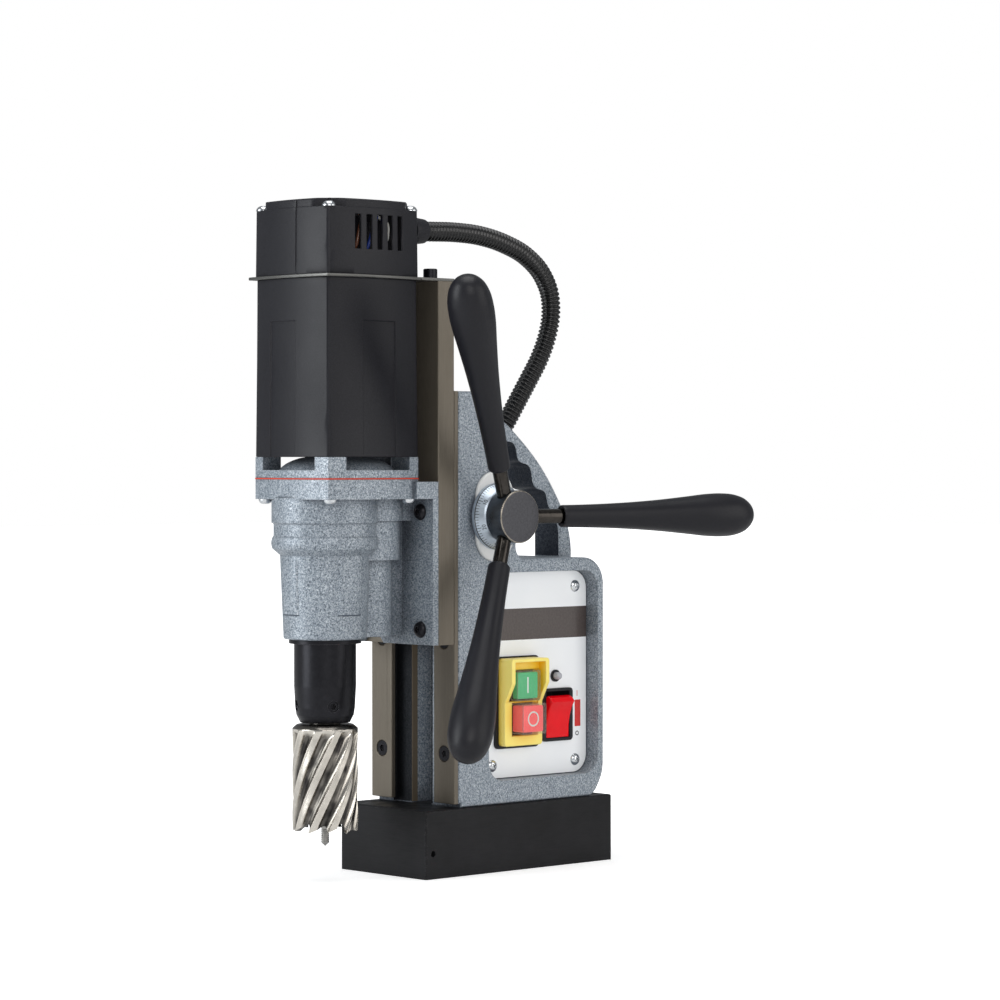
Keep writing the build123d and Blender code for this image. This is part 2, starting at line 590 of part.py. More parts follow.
# rack with straight flanks, a gap centred on the pinion axis
RACK_HALF = 8.0                  # half width, also of the pinion teeth
RACK_Z0, RACK_Z1 = SLIDE_Z0 + 1.0, SLIDE_TOP - 1.5
RACK_END = 3                     # least distance from a tooth's centre to the end
RACK_BACK = CHANNEL_BACK - RUN
tooth_pitch = math.pi * PINION_MODULE
pitch_line = PINION_Y - PINION_PITCH_R
root_y = pitch_line - DEDENDUM * PINION_MODULE
tip_y = pitch_line + ADDENDUM * PINION_MODULE
pitch_half = tooth_pitch / 4 - PINION_THINNING / 2
root_half = pitch_half + DEDENDUM * PINION_MODULE * math.tan(PRESSURE)
tip_half = pitch_half - ADDENDUM * PINION_MODULE * math.tan(PRESSURE)
first_tooth = math.ceil((RACK_Z0 + RACK_END - PINION_Z) / tooth_pitch - 0.5)
last_tooth = math.floor((RACK_Z1 - RACK_END - PINION_Z) / tooth_pitch - 0.5)
rack_outline = [(RACK_BACK, RACK_Z0), (root_y, RACK_Z0)]
for k in range(first_tooth, last_tooth + 1):
    tooth_z = PINION_Z + (k + 0.5) * tooth_pitch
    rack_outline += [(root_y, tooth_z - root_half), (tip_y, tooth_z - tip_half),
                     (tip_y, tooth_z + tip_half), (root_y, tooth_z + root_half)]
rack_outline += [(root_y, RACK_Z1), (RACK_BACK, RACK_Z1)]

with BuildPart() as rack:
    with BuildSketch(at_x(-RACK_HALF)):
        with BuildLine():
            Polyline(*rack_outline, close=True)
        make_face()
    extrude(amount=2 * RACK_HALF)
save(rack, "rack")

# ===========================================================================
# Gearbox
# ===========================================================================
BRACKET_T = 4.4
BRACKET_FRONT = SLIDE_FRONT - BRACKET_T
BRACKET_Z0, BRACKET_TOP = SLIDE_Z0 + 0.1, 243.2
BOSS_REAR = -70.0                # the bosses end inside the bracket plate
SPINDLE_CHAMBER_R = 24.2         # round the spindle wheel
WHEEL_CHAMBER_R, WHEEL_CHAMBER_Z = 17.0, 226.0
COUNTER_BEARING_Z, COUNTER_BEARING_R = 197.0, 8.0
COUNTER_TOP_BEARING_H, COUNTER_TOP_BEARING_R = 4.0, 6.0
MOTOR_BEARING_Z, MOTOR_BEARING_H, MOTOR_BEARING_R = 247.0, 7.0, 11.0
WINDOW_Z = 250.4                 # floor of the cover's air space
GEARBOX_SCREWS = grid((-30.6, 30.6), (MOTOR_Y - 31.2, MOTOR_Y + 31.2))

with BuildPart() as gearbox_housing:
    # nose, (radius, z)
    with BuildSketch(at_y(SPINDLE_Y)):
        with BuildLine():
            Polyline((0, NOSE_Z), (24.6, NOSE_Z), (25.3, NOSE_Z + 0.7), (27.4, 198.7),
                     (32.0, 202.6))
            ThreePointArc((32.0, 202.6), (32.7, 206.4), (32.0, 209.6))
            Polyline((32.0, 209.6), (31.3, 210.4), (31.3, 217.6), (32.5, 218.6),
                     (32.5, SHOULDER_Z + 1), (0, SHOULDER_Z + 1), (0, NOSE_Z))
        make_face()
    revolve(axis=SPINDLE_AXIS)
    # stepped bosses around the countershaft
    with BuildSketch(at_z(148.6)):
        discs(19.5, COUNTER_AT)
        rect(-10, 10, COUNTER_Y, BOSS_REAR)
    extrude(amount=SHOULDER_Z - 148.6)
    with BuildSketch(at_z(195.4)):
        discs(24.5, COUNTER_AT)
    extrude(amount=SHOULDER_Z - 195.4)
    with BuildSketch(at_z(219.3)):
        rect(-20.75, 20.75, COUNTER_Y - 4, BOSS_REAR)
        discs(26.5, COUNTER_AT)
    extrude(amount=SHOULDER_Z - 219.3)
    # shoulder
    with BuildSketch(at_z(SHOULDER_Z)):
        with BuildLine():
            cushion()
        make_face()
    extrude(amount=GASKET_Z - SHOULDER_Z)
    # bracket plate and its shoulder
    with BuildSketch(at_y(SLIDE_FRONT)):
        rect(-FRAME_HALF, FRAME_HALF, BRACKET_Z0, BRACKET_TOP)
    extrude(amount=BRACKET_T)
    with BuildSketch(at_z(SHOULDER_Z)):
        rect(-FRAME_HALF, FRAME_HALF, -86.5, -69.5)
    extrude(amount=BRACKET_TOP - SHOULDER_Z)
    # arch in the lower edge
    with BuildSketch(at_y(SLIDE_FRONT)):
        discs(12.3, (-18, 137.0))
    extrude(amount=BRACKET_T, mode=Mode.SUBTRACT)
    # spindle bore, bearing seats and gear chamber, (radius, z)
    with BuildSketch(at_y(SPINDLE_Y)):
        with BuildLine():
            Polyline((0, NOSE_Z), (20, NOSE_Z), (20, 163), (15, 163), (15, 194), (18, 194),
                     (18, 206.5), (SPINDLE_CHAMBER_R, 206.5), (SPINDLE_CHAMBER_R, GASKET_Z),
                     (0, GASKET_Z), close=True)
        make_face()
    revolve(axis=SPINDLE_AXIS, mode=Mode.SUBTRACT)
    # countershaft bearing seat, pinion chamber and wheel chamber
    for bottom, top, radius in ((COUNTER_BEARING_Z, 204, COUNTER_BEARING_R),
                                (204, WHEEL_CHAMBER_Z, 9.2),
                                (WHEEL_CHAMBER_Z, GASKET_Z, WHEEL_CHAMBER_R)):
        with BuildSketch(at_z(bottom)):
            discs(radius, COUNTER_AT)
        extrude(amount=top - bottom, mode=Mode.SUBTRACT)
    # screw holes
    with BuildSketch(at_z(SHOULDER_Z)):
        discs(2.2, *GEARBOX_SCREWS)
    extrude(amount=GASKET_Z - SHOULDER_Z, mode=Mode.SUBTRACT)
    with BuildSketch(at_y(SLIDE_FRONT)):
        discs(3.1, *BRACKET_SCREWS)
    extrude(amount=BRACKET_T, mode=Mode.SUBTRACT)
save(gearbox_housing, "gearbox_housing")

# button head screws with hexagon sockets
BRACKET_HEAD_H = 3.0
head_y = BRACKET_FRONT - BRACKET_HEAD_H
with BuildPart() as bracket_screws:
    with BuildSketch(at_y(SLIDE_FRONT + 9)):
        discs(2.97, *BRACKET_SCREWS)
    extrude(amount=9 + BRACKET_T)
    for screw_x, screw_z in BRACKET_SCREWS:
        with BuildSketch(Plane(origin=(screw_x, 0, screw_z), z_dir=(0, 0, 1))):
            with BuildLine():
                Line((0, BRACKET_FRONT), (5.1, BRACKET_FRONT))
                ThreePointArc((5.1, BRACKET_FRONT), (4.2, BRACKET_FRONT - 2.0), (2.6, head_y))
                Polyline((2.6, head_y), (0, head_y), (0, BRACKET_FRONT))
            make_face()
        revolve(axis=Axis((screw_x, 0, screw_z), (0, 1, 0)))
    with BuildSketch(at_y(head_y)):
        with Locations(*BRACKET_SCREWS):
            RegularPolygon(2.2, 6)
    extrude(amount=-2.0, mode=Mode.SUBTRACT)
save(bracket_screws, "bracket_screws")

with BuildPart() as gearbox_gasket:
    with BuildSketch(at_z(GASKET_Z)):
        with BuildLine():
            cushion(0.2, 0.2)
        make_face()
        discs(SPINDLE_CHAMBER_R, (0, SPINDLE_Y), mode=Mode.SUBTRACT)
        discs(WHEEL_CHAMBER_R, COUNTER_AT, mode=Mode.SUBTRACT)
        discs(2.2, *GEARBOX_SCREWS, mode=Mode.SUBTRACT)
    extrude(amount=GASKET_T)
save(gearbox_gasket, "gearbox_gasket")

with BuildPart() as gearbox_cover:
    with BuildSketch(at_z(COVER_Z)):
        with BuildLine():
            cushion()
        make_face()
    extrude(amount=COVER_TOP - COVER_Z)
    # ring-shaped air space above the floor, with windows to the front and both sides
    with BuildSketch(at_z(WINDOW_Z)):
        discs(33.0, MOTOR_AT)
        discs(14.0, MOTOR_AT, mode=Mode.SUBTRACT)
    extrude(amount=COVER_TOP - WINDOW_Z, mode=Mode.SUBTRACT)
    with BuildSketch(at_z(WINDOW_Z)):
        with Locations((0, MOTOR_Y - 32)):
            Rectangle(49, 24)
        with Locations((32, MOTOR_Y + 1.5), (-32, MOTOR_Y + 1.5)):
            Rectangle(24, 51)
    extrude(amount=COVER_TOP - WINDOW_Z, mode=Mode.SUBTRACT)
    # armature bearing seat and shaft hole
    with BuildSketch(at_z(MOTOR_BEARING_Z)):
        discs(MOTOR_BEARING_R, MOTOR_AT)
    extrude(amount=MOTOR_BEARING_H, mode=Mode.SUBTRACT)
    with BuildSketch(at_z(COVER_Z)):
        discs(6.6, MOTOR_AT)
    extrude(amount=COVER_TOP - COVER_Z, mode=Mode.SUBTRACT)
    # countershaft bearing seat, open below
    with BuildSketch(at_z(COVER_Z)):
        discs(COUNTER_TOP_BEARING_R, COUNTER_AT)
    extrude(amount=COUNTER_TOP_BEARING_H, mode=Mode.SUBTRACT)
    with BuildSketch(at_z(COVER_Z)):
        discs(2.0, *GEARBOX_SCREWS)
    extrude(amount=COVER_TOP - COVER_Z, mode=Mode.SUBTRACT)
save(gearbox_cover, "gearbox_cover")

# screws from below, heads under the shoulder
head_z = SHOULDER_Z - 3.0
with BuildPart() as gearbox_screws:
    with BuildSketch(at_z(SHOULDER_Z)):
        discs(1.97, *GEARBOX_SCREWS)
    extrude(amount=24)
    for x, y in GEARBOX_SCREWS:
        with BuildSketch(at_y(y)):
            with BuildLine():
                Line((x, SHOULDER_Z), (x + 4.0, SHOULDER_Z))
                ThreePointArc((x + 4.0, SHOULDER_Z), (x + 3.3, SHOULDER_Z - 2.2),
                              (x + 1.2, head_z))
                Polyline((x + 1.2, head_z), (x, head_z), (x, SHOULDER_Z))
            make_face()
        revolve(axis=Axis((x, y, 0), (0, 0, 1)))
save(gearbox_screws, "gearbox_screws")

# ===========================================================================
# Motor casing
# ===========================================================================
BODY_TAPER, CAP_TAPER = 0.45, 0.5        # degrees
RING_Z, TOP_BEARING_R = 359.0, 9.5       # seat of the upper armature bearing
STATOR_Z, STATOR_H = 275.0, 60.0
BRUSH_GUIDE_Z = 343.0
NOTCH_Z = 408.2                          # floor of the cap's corner notches
CAP_SCREWS = grid((-31.0, 31.0), (MOTOR_Y - 32.4, MOTOR_Y + 32.4))
CABLE_X, CABLE_Z = 20, 397.3             # cable entry

with BuildPart() as motor_body:
    with BuildSketch(at_z(COVER_TOP)):
        with BuildLine():
            cushion()
        make_face()
    extrude(amount=SLIDE_TOP - COVER_TOP, taper=BODY_TAPER)
    with BuildSketch(at_z(COVER_TOP)):
        with BuildLine():
            cushion(-3.4, -3.2)
        make_face()
    extrude(amount=SLIDE_TOP - COVER_TOP, taper=BODY_TAPER, mode=Mode.SUBTRACT)
    # ring that seats the upper armature bearing, carried by four arms
    with BuildSketch(at_z(RING_Z)):
        with Locations(MOTOR_AT):
            Circle(13.0)
            Rectangle(72, 9)
            Rectangle(9, 74)
    extrude(amount=SLIDE_TOP - RING_Z)
    with BuildSketch(at_z(RING_Z)):
        discs(TOP_BEARING_R, MOTOR_AT)
    extrude(amount=SLIDE_TOP - RING_Z, mode=Mode.SUBTRACT)
    # ribs that locate the stator
    with BuildSketch(at_z(STATOR_Z)):
        discs(7.4, *grid((-27.6, 27.6), (MOTOR_Y - 28.2, MOTOR_Y + 28.2)))
        discs(33.0, MOTOR_AT, mode=Mode.SUBTRACT)
    extrude(amount=STATOR_H)
    # corner posts for the cap screws
    with BuildSketch(at_z(SLIDE_TOP - 22.0)):
        discs(4.0, *grid((-29.0, 29.0), (MOTOR_Y - 30.4, MOTOR_Y + 30.4)))
    extrude(amount=22.0)
    with BuildSketch(at_z(SLIDE_TOP - 8.0)):
        discs(2.0, *CAP_SCREWS)
    extrude(amount=8.0, mode=Mode.SUBTRACT)
    # moulded brush guides hanging from the arms
    for side in (-1, 1):
        with BuildSketch(at_z(BRUSH_GUIDE_Z)):
            with Locations((side * 25.5, MOTOR_Y)):
                Rectangle(21, 12)
                Rectangle(21, 7.1, mode=Mode.SUBTRACT)
        extrude(amount=RING_Z - BRUSH_GUIDE_Z)
save(motor_body, "motor_body")

# plate between motor body and cap, reaching back over the slide
with BuildPart() as support_plate:
    with BuildSketch(at_z(SLIDE_TOP)):
        with BuildLine():
            cushion(3.0, 1.6)
        make_face()
        rect(-FRAME_HALF, FRAME_HALF, -82.5, -55.5)
        discs(24.0, MOTOR_AT, mode=Mode.SUBTRACT)
        discs(2.7, *TOP_SCREWS, mode=Mode.SUBTRACT)
        discs(2.1, *CAP_SCREWS, mode=Mode.SUBTRACT)
    extrude(amount=SUPPORT_T)
save(support_plate, "support_plate")

TOP_HEAD_H = 6.4
with BuildPart() as slide_top_screws:
    with BuildSketch(at_z(SLIDE_TOP - 12)):
        discs(2.47, *TOP_SCREWS)
    extrude(amount=12 + SUPPORT_T)
    with BuildSketch(at_z(CAP_Z)):
        discs(4.35, *TOP_SCREWS)
    extrude(amount=TOP_HEAD_H)
    chamfer(slide_top_screws.faces().filter_by(Axis.Z).sort_by(Axis.Z)[-2:].edges(), 0.5)
    with BuildSketch(at_z(CAP_Z + TOP_HEAD_H)):
        with Locations(*TOP_SCREWS):
            RegularPolygon(2.3, 6)
    extrude(amount=-3.0, mode=Mode.SUBTRACT)
save(slide_top_screws, "slide_top_screws")

with BuildPart() as motor_cap:
    with BuildSketch(at_z(CAP_Z)):
        with BuildLine():
            cushion()
        make_face()
    extrude(amount=CAP_TOP - CAP_Z, taper=CAP_TAPER)
    # chamfered crown
    chamfer(motor_cap.faces().sort_by(Axis.Z)[-1].edges(), 3.2)
    # inside, leaving columns round the screws
    with BuildSketch(at_z(CAP_Z)):
        with BuildLine():
            cushion(-3.2, -3.0)
        make_face()
        discs(5.2, *CAP_SCREWS, mode=Mode.SUBTRACT)
    extrude(amount=38.4, taper=CAP_TAPER, mode=Mode.SUBTRACT)
    # corner notches for the screws
    with BuildSketch(at_z(NOTCH_Z)):
        with Locations(*grid((-33.2, 33.2), (MOTOR_Y - 34.6, MOTOR_Y + 34.6))):
            Rectangle(17, 17, rotation=45)
    extrude(amount=12, mode=Mode.SUBTRACT)
    with BuildSketch(at_z(CAP_Z)):
        discs(2.1, *CAP_SCREWS)
    extrude(amount=42, mode=Mode.SUBTRACT)
    # air slots, right and left
    with BuildSketch(at_x(-45)):
        with Locations(*[(MOTOR_Y + 1.4 + 8.4 * i, 393.6) for i in range(-2, 3)]):
            Rectangle(4.6, 21)
    extrude(amount=90, mode=Mode.SUBTRACT)
    # cable entry at the rear
    with BuildSketch(at_y(-90)):
        discs(6.5, (CABLE_X, CABLE_Z))
    extrude(amount=-30, mode=Mode.SUBTRACT)
save(motor_cap, "motor_cap")

# domed screws with a cross slot
with BuildPart() as cap_screws:
    with BuildSketch(at_z(CAP_Z - 6)):
        discs(1.95, *CAP_SCREWS)
    extrude(amount=NOTCH_Z - CAP_Z + 6)
    for x, y in CAP_SCREWS:
        with BuildSketch(at_y(y)):
            with BuildLine():
                Line((x, NOTCH_Z), (x + 4.4, NOTCH_Z))
                ThreePointArc((x + 4.4, NOTCH_Z), (x + 3.4, NOTCH_Z + 2.1), (x, NOTCH_Z + 3.1))
                Line((x, NOTCH_Z + 3.1), (x, NOTCH_Z))
            make_face()
        revolve(axis=Axis((x, y, 0), (0, 0, 1)))
    with BuildSketch(at_z(NOTCH_Z + 3.3)):
        with Locations(*CAP_SCREWS):
            Rectangle(4.6, 1.0, rotation=20)
            Rectangle(1.0, 4.6, rotation=20)
    extrude(amount=-1.8, mode=Mode.SUBTRACT)
save(cap_screws, "cap_screws")

# ===========================================================================
# Motor internals
# ===========================================================================
ARMATURE_SHAFT_R = 3.95
FAN_Z, FAN_DISC_T = 259.5, 1.6
ARMATURE_GEAR_TOP = 241.5

# ring with two inward poles, front and rear of it cut out for the coils
with BuildPart() as stator_core:
    with BuildSketch(at_z(STATOR_Z)):
        discs(32.9, MOTOR_AT)
        discs(28.0, MOTOR_AT, mode=Mode.SUBTRACT)
    extrude(amount=STATOR_H)
    with BuildSketch(at_z(STATOR_Z)):
        with Locations(MOTOR_AT):
            Circle(30.0)
            Circle(21.6, mode=Mode.SUBTRACT)
            Rectangle(34, 70, mode=Mode.SUBTRACT)
    extrude(amount=STATOR_H)
save(stator_core, "stator_core")

with BuildPart() as field_coils:
    for side in (-1, 1):
        with BuildSketch(at_z(STATOR_Z - 5)):
            with Locations((0, MOTOR_Y + side * 24.1)):
                Rectangle(18, 4.6)
        extrude(amount=STATOR_H + 10)
save(field_coils, "field_coils")

with BuildPart() as carbon_brushes:
    for side in (-1, 1):
        with BuildSketch(at_z(BRUSH_GUIDE_Z + 1)):
            with Locations((side * 20.6, MOTOR_Y)):
                Rectangle(16, 7.0)
        extrude(amount=11)
save(carbon_brushes, "carbon_brushes")

# shaft with the motor pinion, a tooth pointing at the countershaft
with BuildPart() as armature_shaft:
    with BuildSketch(at_z(WHEEL_CHAMBER_Z)):
        with BuildLine():
            Polyline(*gear_outline(ARMATURE_TEETH, MOTOR_MODULE, MOTOR_AT, math.pi / 2),
                     close=True)
        make_face()
    extrude(amount=ARMATURE_GEAR_TOP - WHEEL_CHAMBER_Z)
    with BuildSketch(at_z(ARMATURE_GEAR_TOP)):
        discs(ARMATURE_SHAFT_R, MOTOR_AT)
    extrude(amount=124.0)
save(armature_shaft, "armature_shaft")

with BuildPart() as armature_core:
    with BuildSketch(at_z(STATOR_Z)):
        discs(21.0, MOTOR_AT)
        discs(ARMATURE_SHAFT_R, MOTOR_AT, mode=Mode.SUBTRACT)
        with Locations(MOTOR_AT):
            with PolarLocations(19.4, 12):
                Rectangle(4.0, 2.2, mode=Mode.SUBTRACT)
    extrude(amount=STATOR_H)
save(armature_core, "armature_core")

with BuildPart() as commutator:
    with BuildSketch(at_z(341.0)):
        discs(12.4, MOTOR_AT)
        discs(ARMATURE_SHAFT_R, MOTOR_AT, mode=Mode.SUBTRACT)
    extrude(amount=16)
save(commutator, "commutator")

# disc with a hub and twelve straight blades on top
with BuildPart() as cooling_fan:
    with BuildSketch(at_z(FAN_Z)):
        discs(30.0, MOTOR_AT)
        discs(ARMATURE_SHAFT_R, MOTOR_AT, mode=Mode.SUBTRACT)
    extrude(amount=FAN_DISC_T)
    with BuildSketch(at_z(FAN_Z + FAN_DISC_T)):
        with Locations(MOTOR_AT):
            Circle(8.0)
            Circle(ARMATURE_SHAFT_R, mode=Mode.SUBTRACT)
            with PolarLocations(20.0, 12):
                Rectangle(17, 1.4)
    extrude(amount=6.5)
save(cooling_fan, "cooling_fan")

# ===========================================================================
# Countershaft and spindle; revolved outlines are (radius, z)
# ===========================================================================
COUNTER_PINION_Z, COUNTER_PINION_TOP = 206.0, 225.0
WHEEL_Z, WHEEL_H = 228.0, 10.0
SPINDLE_BORE_R = 5.6
SPINDLE_FOOT_Z = 132.2
SPINDLE_WHEEL_Z = 208.6
CUTTER_R, CUTTER_WALL_R = 20.0, 17.0     # outside and inside of the cutting ring
CUTTER_Z, CUTTER_TOP = 30.5, 95.7
GRUB_ANGLES = (-24.0, -114.0)            # degrees from +X
GRUB_Z = 107.4
SPRING_R, SPRING_WIRE_R, SPRING_Z = 4.2, 0.8, 132.0

with BuildPart() as countershaft:
    with BuildSketch(at_z(COUNTER_BEARING_Z + 0.2)):
        discs(3.0, COUNTER_AT)
    extrude(amount=52.2)
    # pinion, a tooth pointing at the spindle
    with BuildSketch(at_z(COUNTER_PINION_Z)):
        with BuildLine():
            Polyline(*gear_outline(COUNTER_TEETH, SPINDLE_MODULE, COUNTER_AT, -math.pi / 2),
                     close=True)
        make_face()
    extrude(amount=COUNTER_PINION_TOP - COUNTER_PINION_Z)
    # wheel, a gap facing the armature shaft
    with BuildSketch(at_z(WHEEL_Z)):
        with BuildLine():
            Polyline(*gear_outline(WHEEL_TEETH, MOTOR_MODULE, COUNTER_AT,
                                   -math.pi / 2 + math.pi / WHEEL_TEETH), close=True)
        make_face()
    extrude(amount=WHEEL_H)
    with BuildSketch(at_z(COUNTER_PINION_TOP)):
        discs(5.5, COUNTER_AT)
    extrude(amount=WHEEL_Z - COUNTER_PINION_TOP)
save(countershaft, "countershaft")

with BuildPart() as spindle_shaft:
    with BuildSketch(at_y(SPINDLE_Y)):
        with BuildLine():
            Polyline((SPINDLE_BORE_R, SPINDLE_FOOT_Z), (9.95, SPINDLE_FOOT_Z), (9.95, 147.9),
                     (12.45, 147.9), (12.45, 206.6), (13.5, 206.6), (13.5, SPINDLE_WHEEL_Z),
                     (10.0, SPINDLE_WHEEL_Z), (10.0, 224.2), (0, 224.2), (0, 196.0),
                     (SPINDLE_BORE_R, 196.0), close=True)
        make_face()
    revolve(axis=SPINDLE_AXIS)
    # wheel, a gap facing the countershaft
    with BuildSketch(at_z(SPINDLE_WHEEL_Z)):
        with BuildLine():
            Polyline(*gear_outline(SPINDLE_TEETH, SPINDLE_MODULE, (0, SPINDLE_Y),
                                   math.pi / 2 + math.pi / SPINDLE_TEETH), close=True)
        make_face()
    extrude(amount=13.0)
save(spindle_shaft, "spindle_shaft")

with BuildPart() as arbor:
    with BuildSketch(at_y(SPINDLE_Y)):
        with BuildLine():
            Polyline((9.57, 97.0), (15.2, 97.0), (17.5, 101.5), (18.2, 106.0), (18.9, 119.0),
                     (18.9, 145.1), (22.0, 145.1), (22.0, 147.4), (12.4, 147.4), (10.0, 147.4),
                     (10.0, SPINDLE_FOOT_Z), (SPINDLE_BORE_R, SPINDLE_FOOT_Z),
                     (SPINDLE_BORE_R, 127.4), (9.57, 127.4), close=True)
        make_face()
    revolve(axis=SPINDLE_AXIS)
    for angle in GRUB_ANGLES:
        c, s = math.cos(math.radians(angle)), math.sin(math.radians(angle))
        with BuildSketch(Plane(origin=(9.0 * c, SPINDLE_Y + 9.0 * s, GRUB_Z), z_dir=(c, s, 0))):
            Circle(3.5)
        extrude(amount=12, mode=Mode.SUBTRACT)
save(arbor, "arbor")

with BuildPart() as grub_screws:
    for angle in GRUB_ANGLES:
        c, s = math.cos(math.radians(angle)), math.sin(math.radians(angle))
        with BuildSketch(Plane(origin=(9.6 * c, SPINDLE_Y + 9.6 * s, GRUB_Z), z_dir=(c, s, 0))):
            Circle(3.46)
        extrude(amount=7.6)
        with BuildSketch(Plane(origin=(17.2 * c, SPINDLE_Y + 17.2 * s, GRUB_Z),
                               z_dir=(c, s, 0))):
            RegularPolygon(2.0, 6)
        extrude(amount=-3.0, mode=Mode.SUBTRACT)
save(grub_screws, "grub_screws")

with BuildPart() as annular_cutter:
    with BuildSketch(at_y(SPINDLE_Y)):
        with BuildLine():
            Polyline((CUTTER_WALL_R, CUTTER_Z), (CUTTER_R, CUTTER_Z), (CUTTER_R, CUTTER_TOP - 2.5),
                     (CUTTER_R - 2.5, CUTTER_TOP), (9.5, CUTTER_TOP), (9.5, 127.2), (3.3, 127.2),
                     (3.3, 84.0), (CUTTER_WALL_R, 84.0), close=True)
        make_face()
    revolve(axis=SPINDLE_AXIS)
    # tooth gullets
    with BuildSketch(at_z(CUTTER_Z)):
        with Locations((0, SPINDLE_Y)):
            with PolarLocations(18.6, 10, start_angle=9):
                Rectangle(6.0, 3.4)
    extrude(amount=5.0, mode=Mode.SUBTRACT)
save(annular_cutter, "annular_cutter")

with BuildPart() as pilot_pin:
    with BuildSketch(at_y(SPINDLE_Y)):
        with BuildLine():
            Polyline((0, 21.3), (3.2, 26.0), (3.2, 127.6), (5.0, 127.6), (5.0, 131.0), (0, 131.0),
                     close=True)
        make_face()
    revolve(axis=SPINDLE_AXIS)
save(pilot_pin, "pilot_pin")

with BuildPart() as ejector_spring:
    with BuildLine():
        Helix(pitch=7.0, height=63.0, radius=SPRING_R, center=(0, SPINDLE_Y, SPRING_Z))
    with BuildSketch(Plane(origin=(SPRING_R, SPINDLE_Y, SPRING_Z), x_dir=(1, 0, 0),
                           z_dir=(0, 1, 0))):
        Circle(SPRING_WIRE_R)
    sweep(is_frenet=True)
save(ejector_spring, "ejector_spring")

# axis y, bottom z, height, bore radius, outer radius
BEARINGS = [
    (SPINDLE_Y, 150.5, 12.5, 12.5, 20.0),
    (SPINDLE_Y, 194.0, 12.5, 12.5, 18.0),
    (COUNTER_Y, COUNTER_BEARING_Z, 6.8, 3.05, COUNTER_BEARING_R),
    (COUNTER_Y, COVER_Z, COUNTER_TOP_BEARING_H, 3.05, COUNTER_TOP_BEARING_R),
    (MOTOR_Y, MOTOR_BEARING_Z, MOTOR_BEARING_H, 4.0, MOTOR_BEARING_R),
    (MOTOR_Y, RING_Z, 6.5, 4.0, TOP_BEARING_R),
]
with BuildPart() as ball_bearings:
    for axis_y, bottom, height, bore_r, outer_r in BEARINGS:
        with BuildSketch(at_z(bottom)):
            discs(outer_r, (0, axis_y))
            discs(bore_r, (0, axis_y), mode=Mode.SUBTRACT)
        extrude(amount=height)
save(ball_bearings, "ball_bearings")

# ===========================================================================
# Capstan handle
# ===========================================================================
HUB_X0, HUB_X1, HUB_R = 49.6, 63.0, 16.3
HUB_BORE_R = SHAFT_R + 0.02
DIAL_X, DIAL_R = 41.2, 20.8
SHAFT_X0 = -33.0
SPOKE_X, SPOKE_TILT = 51.9, math.radians(17.27)          # spokes lean towards +X
SPOKE_R, STUD_R = 4.6, 4.0
SPOKES = {"rear": 0.0, "upper": 120.0, "lower": 240.0}   # degrees from +Y towards +Z
GRIP_START, GRIP_END = 36.7, 173.4                       # along the spoke axis
STUD_START, STUD_END = GRIP_START + 3.0, GRIP_START + 30.0
# grip outline: (distance along the spoke axis, radius)
GRIP_OUTLINE = [(GRIP_START, 6.9), (50.0, 7.1), (62.8, 7.45), (84.2, 8.4), (105.6, 9.9),
                (127.0, 12.0), (141.0, 13.45), (151.0, 13.75), (160.0, 12.9), (167.0, 10.4),
                (171.8, 5.9), (GRIP_END, 0.0)]

with BuildPart() as pinion_shaft:
    with BuildSketch(at_x(SHAFT_X0)):
        discs(SHAFT_R, PINION_AT)
    extrude(amount=HUB_X1 - 3.0 - SHAFT_X0)
    # teeth, one pointing at the rack
    with BuildSketch(at_x(-RACK_HALF)):
        with BuildLine():
            Polyline(*gear_outline(PINION_TEETH, PINION_MODULE, PINION_AT, math.pi,
                                   thinning=PINION_THINNING), close=True)
        make_face()
    extrude(amount=2 * RACK_HALF)
save(pinion_shaft, "pinion_shaft")

# ring between flange and hub, (x, radius)
with BuildPart() as dial_ring:
    with BuildSketch(Plane(origin=(0, *PINION_AT), x_dir=(1, 0, 0), z_dir=(0, -1, 0))):
        with BuildLine():
            Polyline((DIAL_X, HUB_BORE_R), (DIAL_X, DIAL_R - 0.4), (DIAL_X + 0.4, DIAL_R),
                     (43.9, DIAL_R), (HUB_X0 - 0.1, HUB_R + 0.1), (HUB_X0 - 0.1, HUB_BORE_R),
                     close=True)
        make_face()
    revolve(axis=Axis((0, *PINION_AT), (1, 0, 0)))
save(dial_ring, "dial_ring")


def spoke_direction(degrees):
    """Unit vector outwards along a spoke."""
    a = math.radians(degrees)
    lean = math.cos(SPOKE_TILT)
    return (math.sin(SPOKE_TILT), lean * math.cos(a), lean * math.sin(a))


with BuildPart() as handle_hub:
    with BuildSketch(at_x(HUB_X0)):
        discs(HUB_R, PINION_AT)
    extrude(amount=HUB_X1 - HUB_X0)
    chamfer(handle_hub.faces().sort_by(Axis.X)[-1].edges(), 0.7)
    with BuildSketch(at_x(HUB_X0)):
        discs(HUB_BORE_R, PINION_AT)
    extrude(amount=HUB_X1 - 2.9 - HUB_X0, mode=Mode.SUBTRACT)
    # spoke sockets
    for angle in SPOKES.values():
        dx, dy, dz = spoke_direction(angle)
        socket = (SPOKE_X + 9.5 * dx, PINION_Y + 9.5 * dy, PINION_Z + 9.5 * dz)
        with BuildSketch(Plane(origin=socket, z_dir=(dx, dy, dz))):
            Circle(SPOKE_R + 0.03)
        extrude(amount=14, mode=Mode.SUBTRACT)
save(handle_hub, "handle_hub")

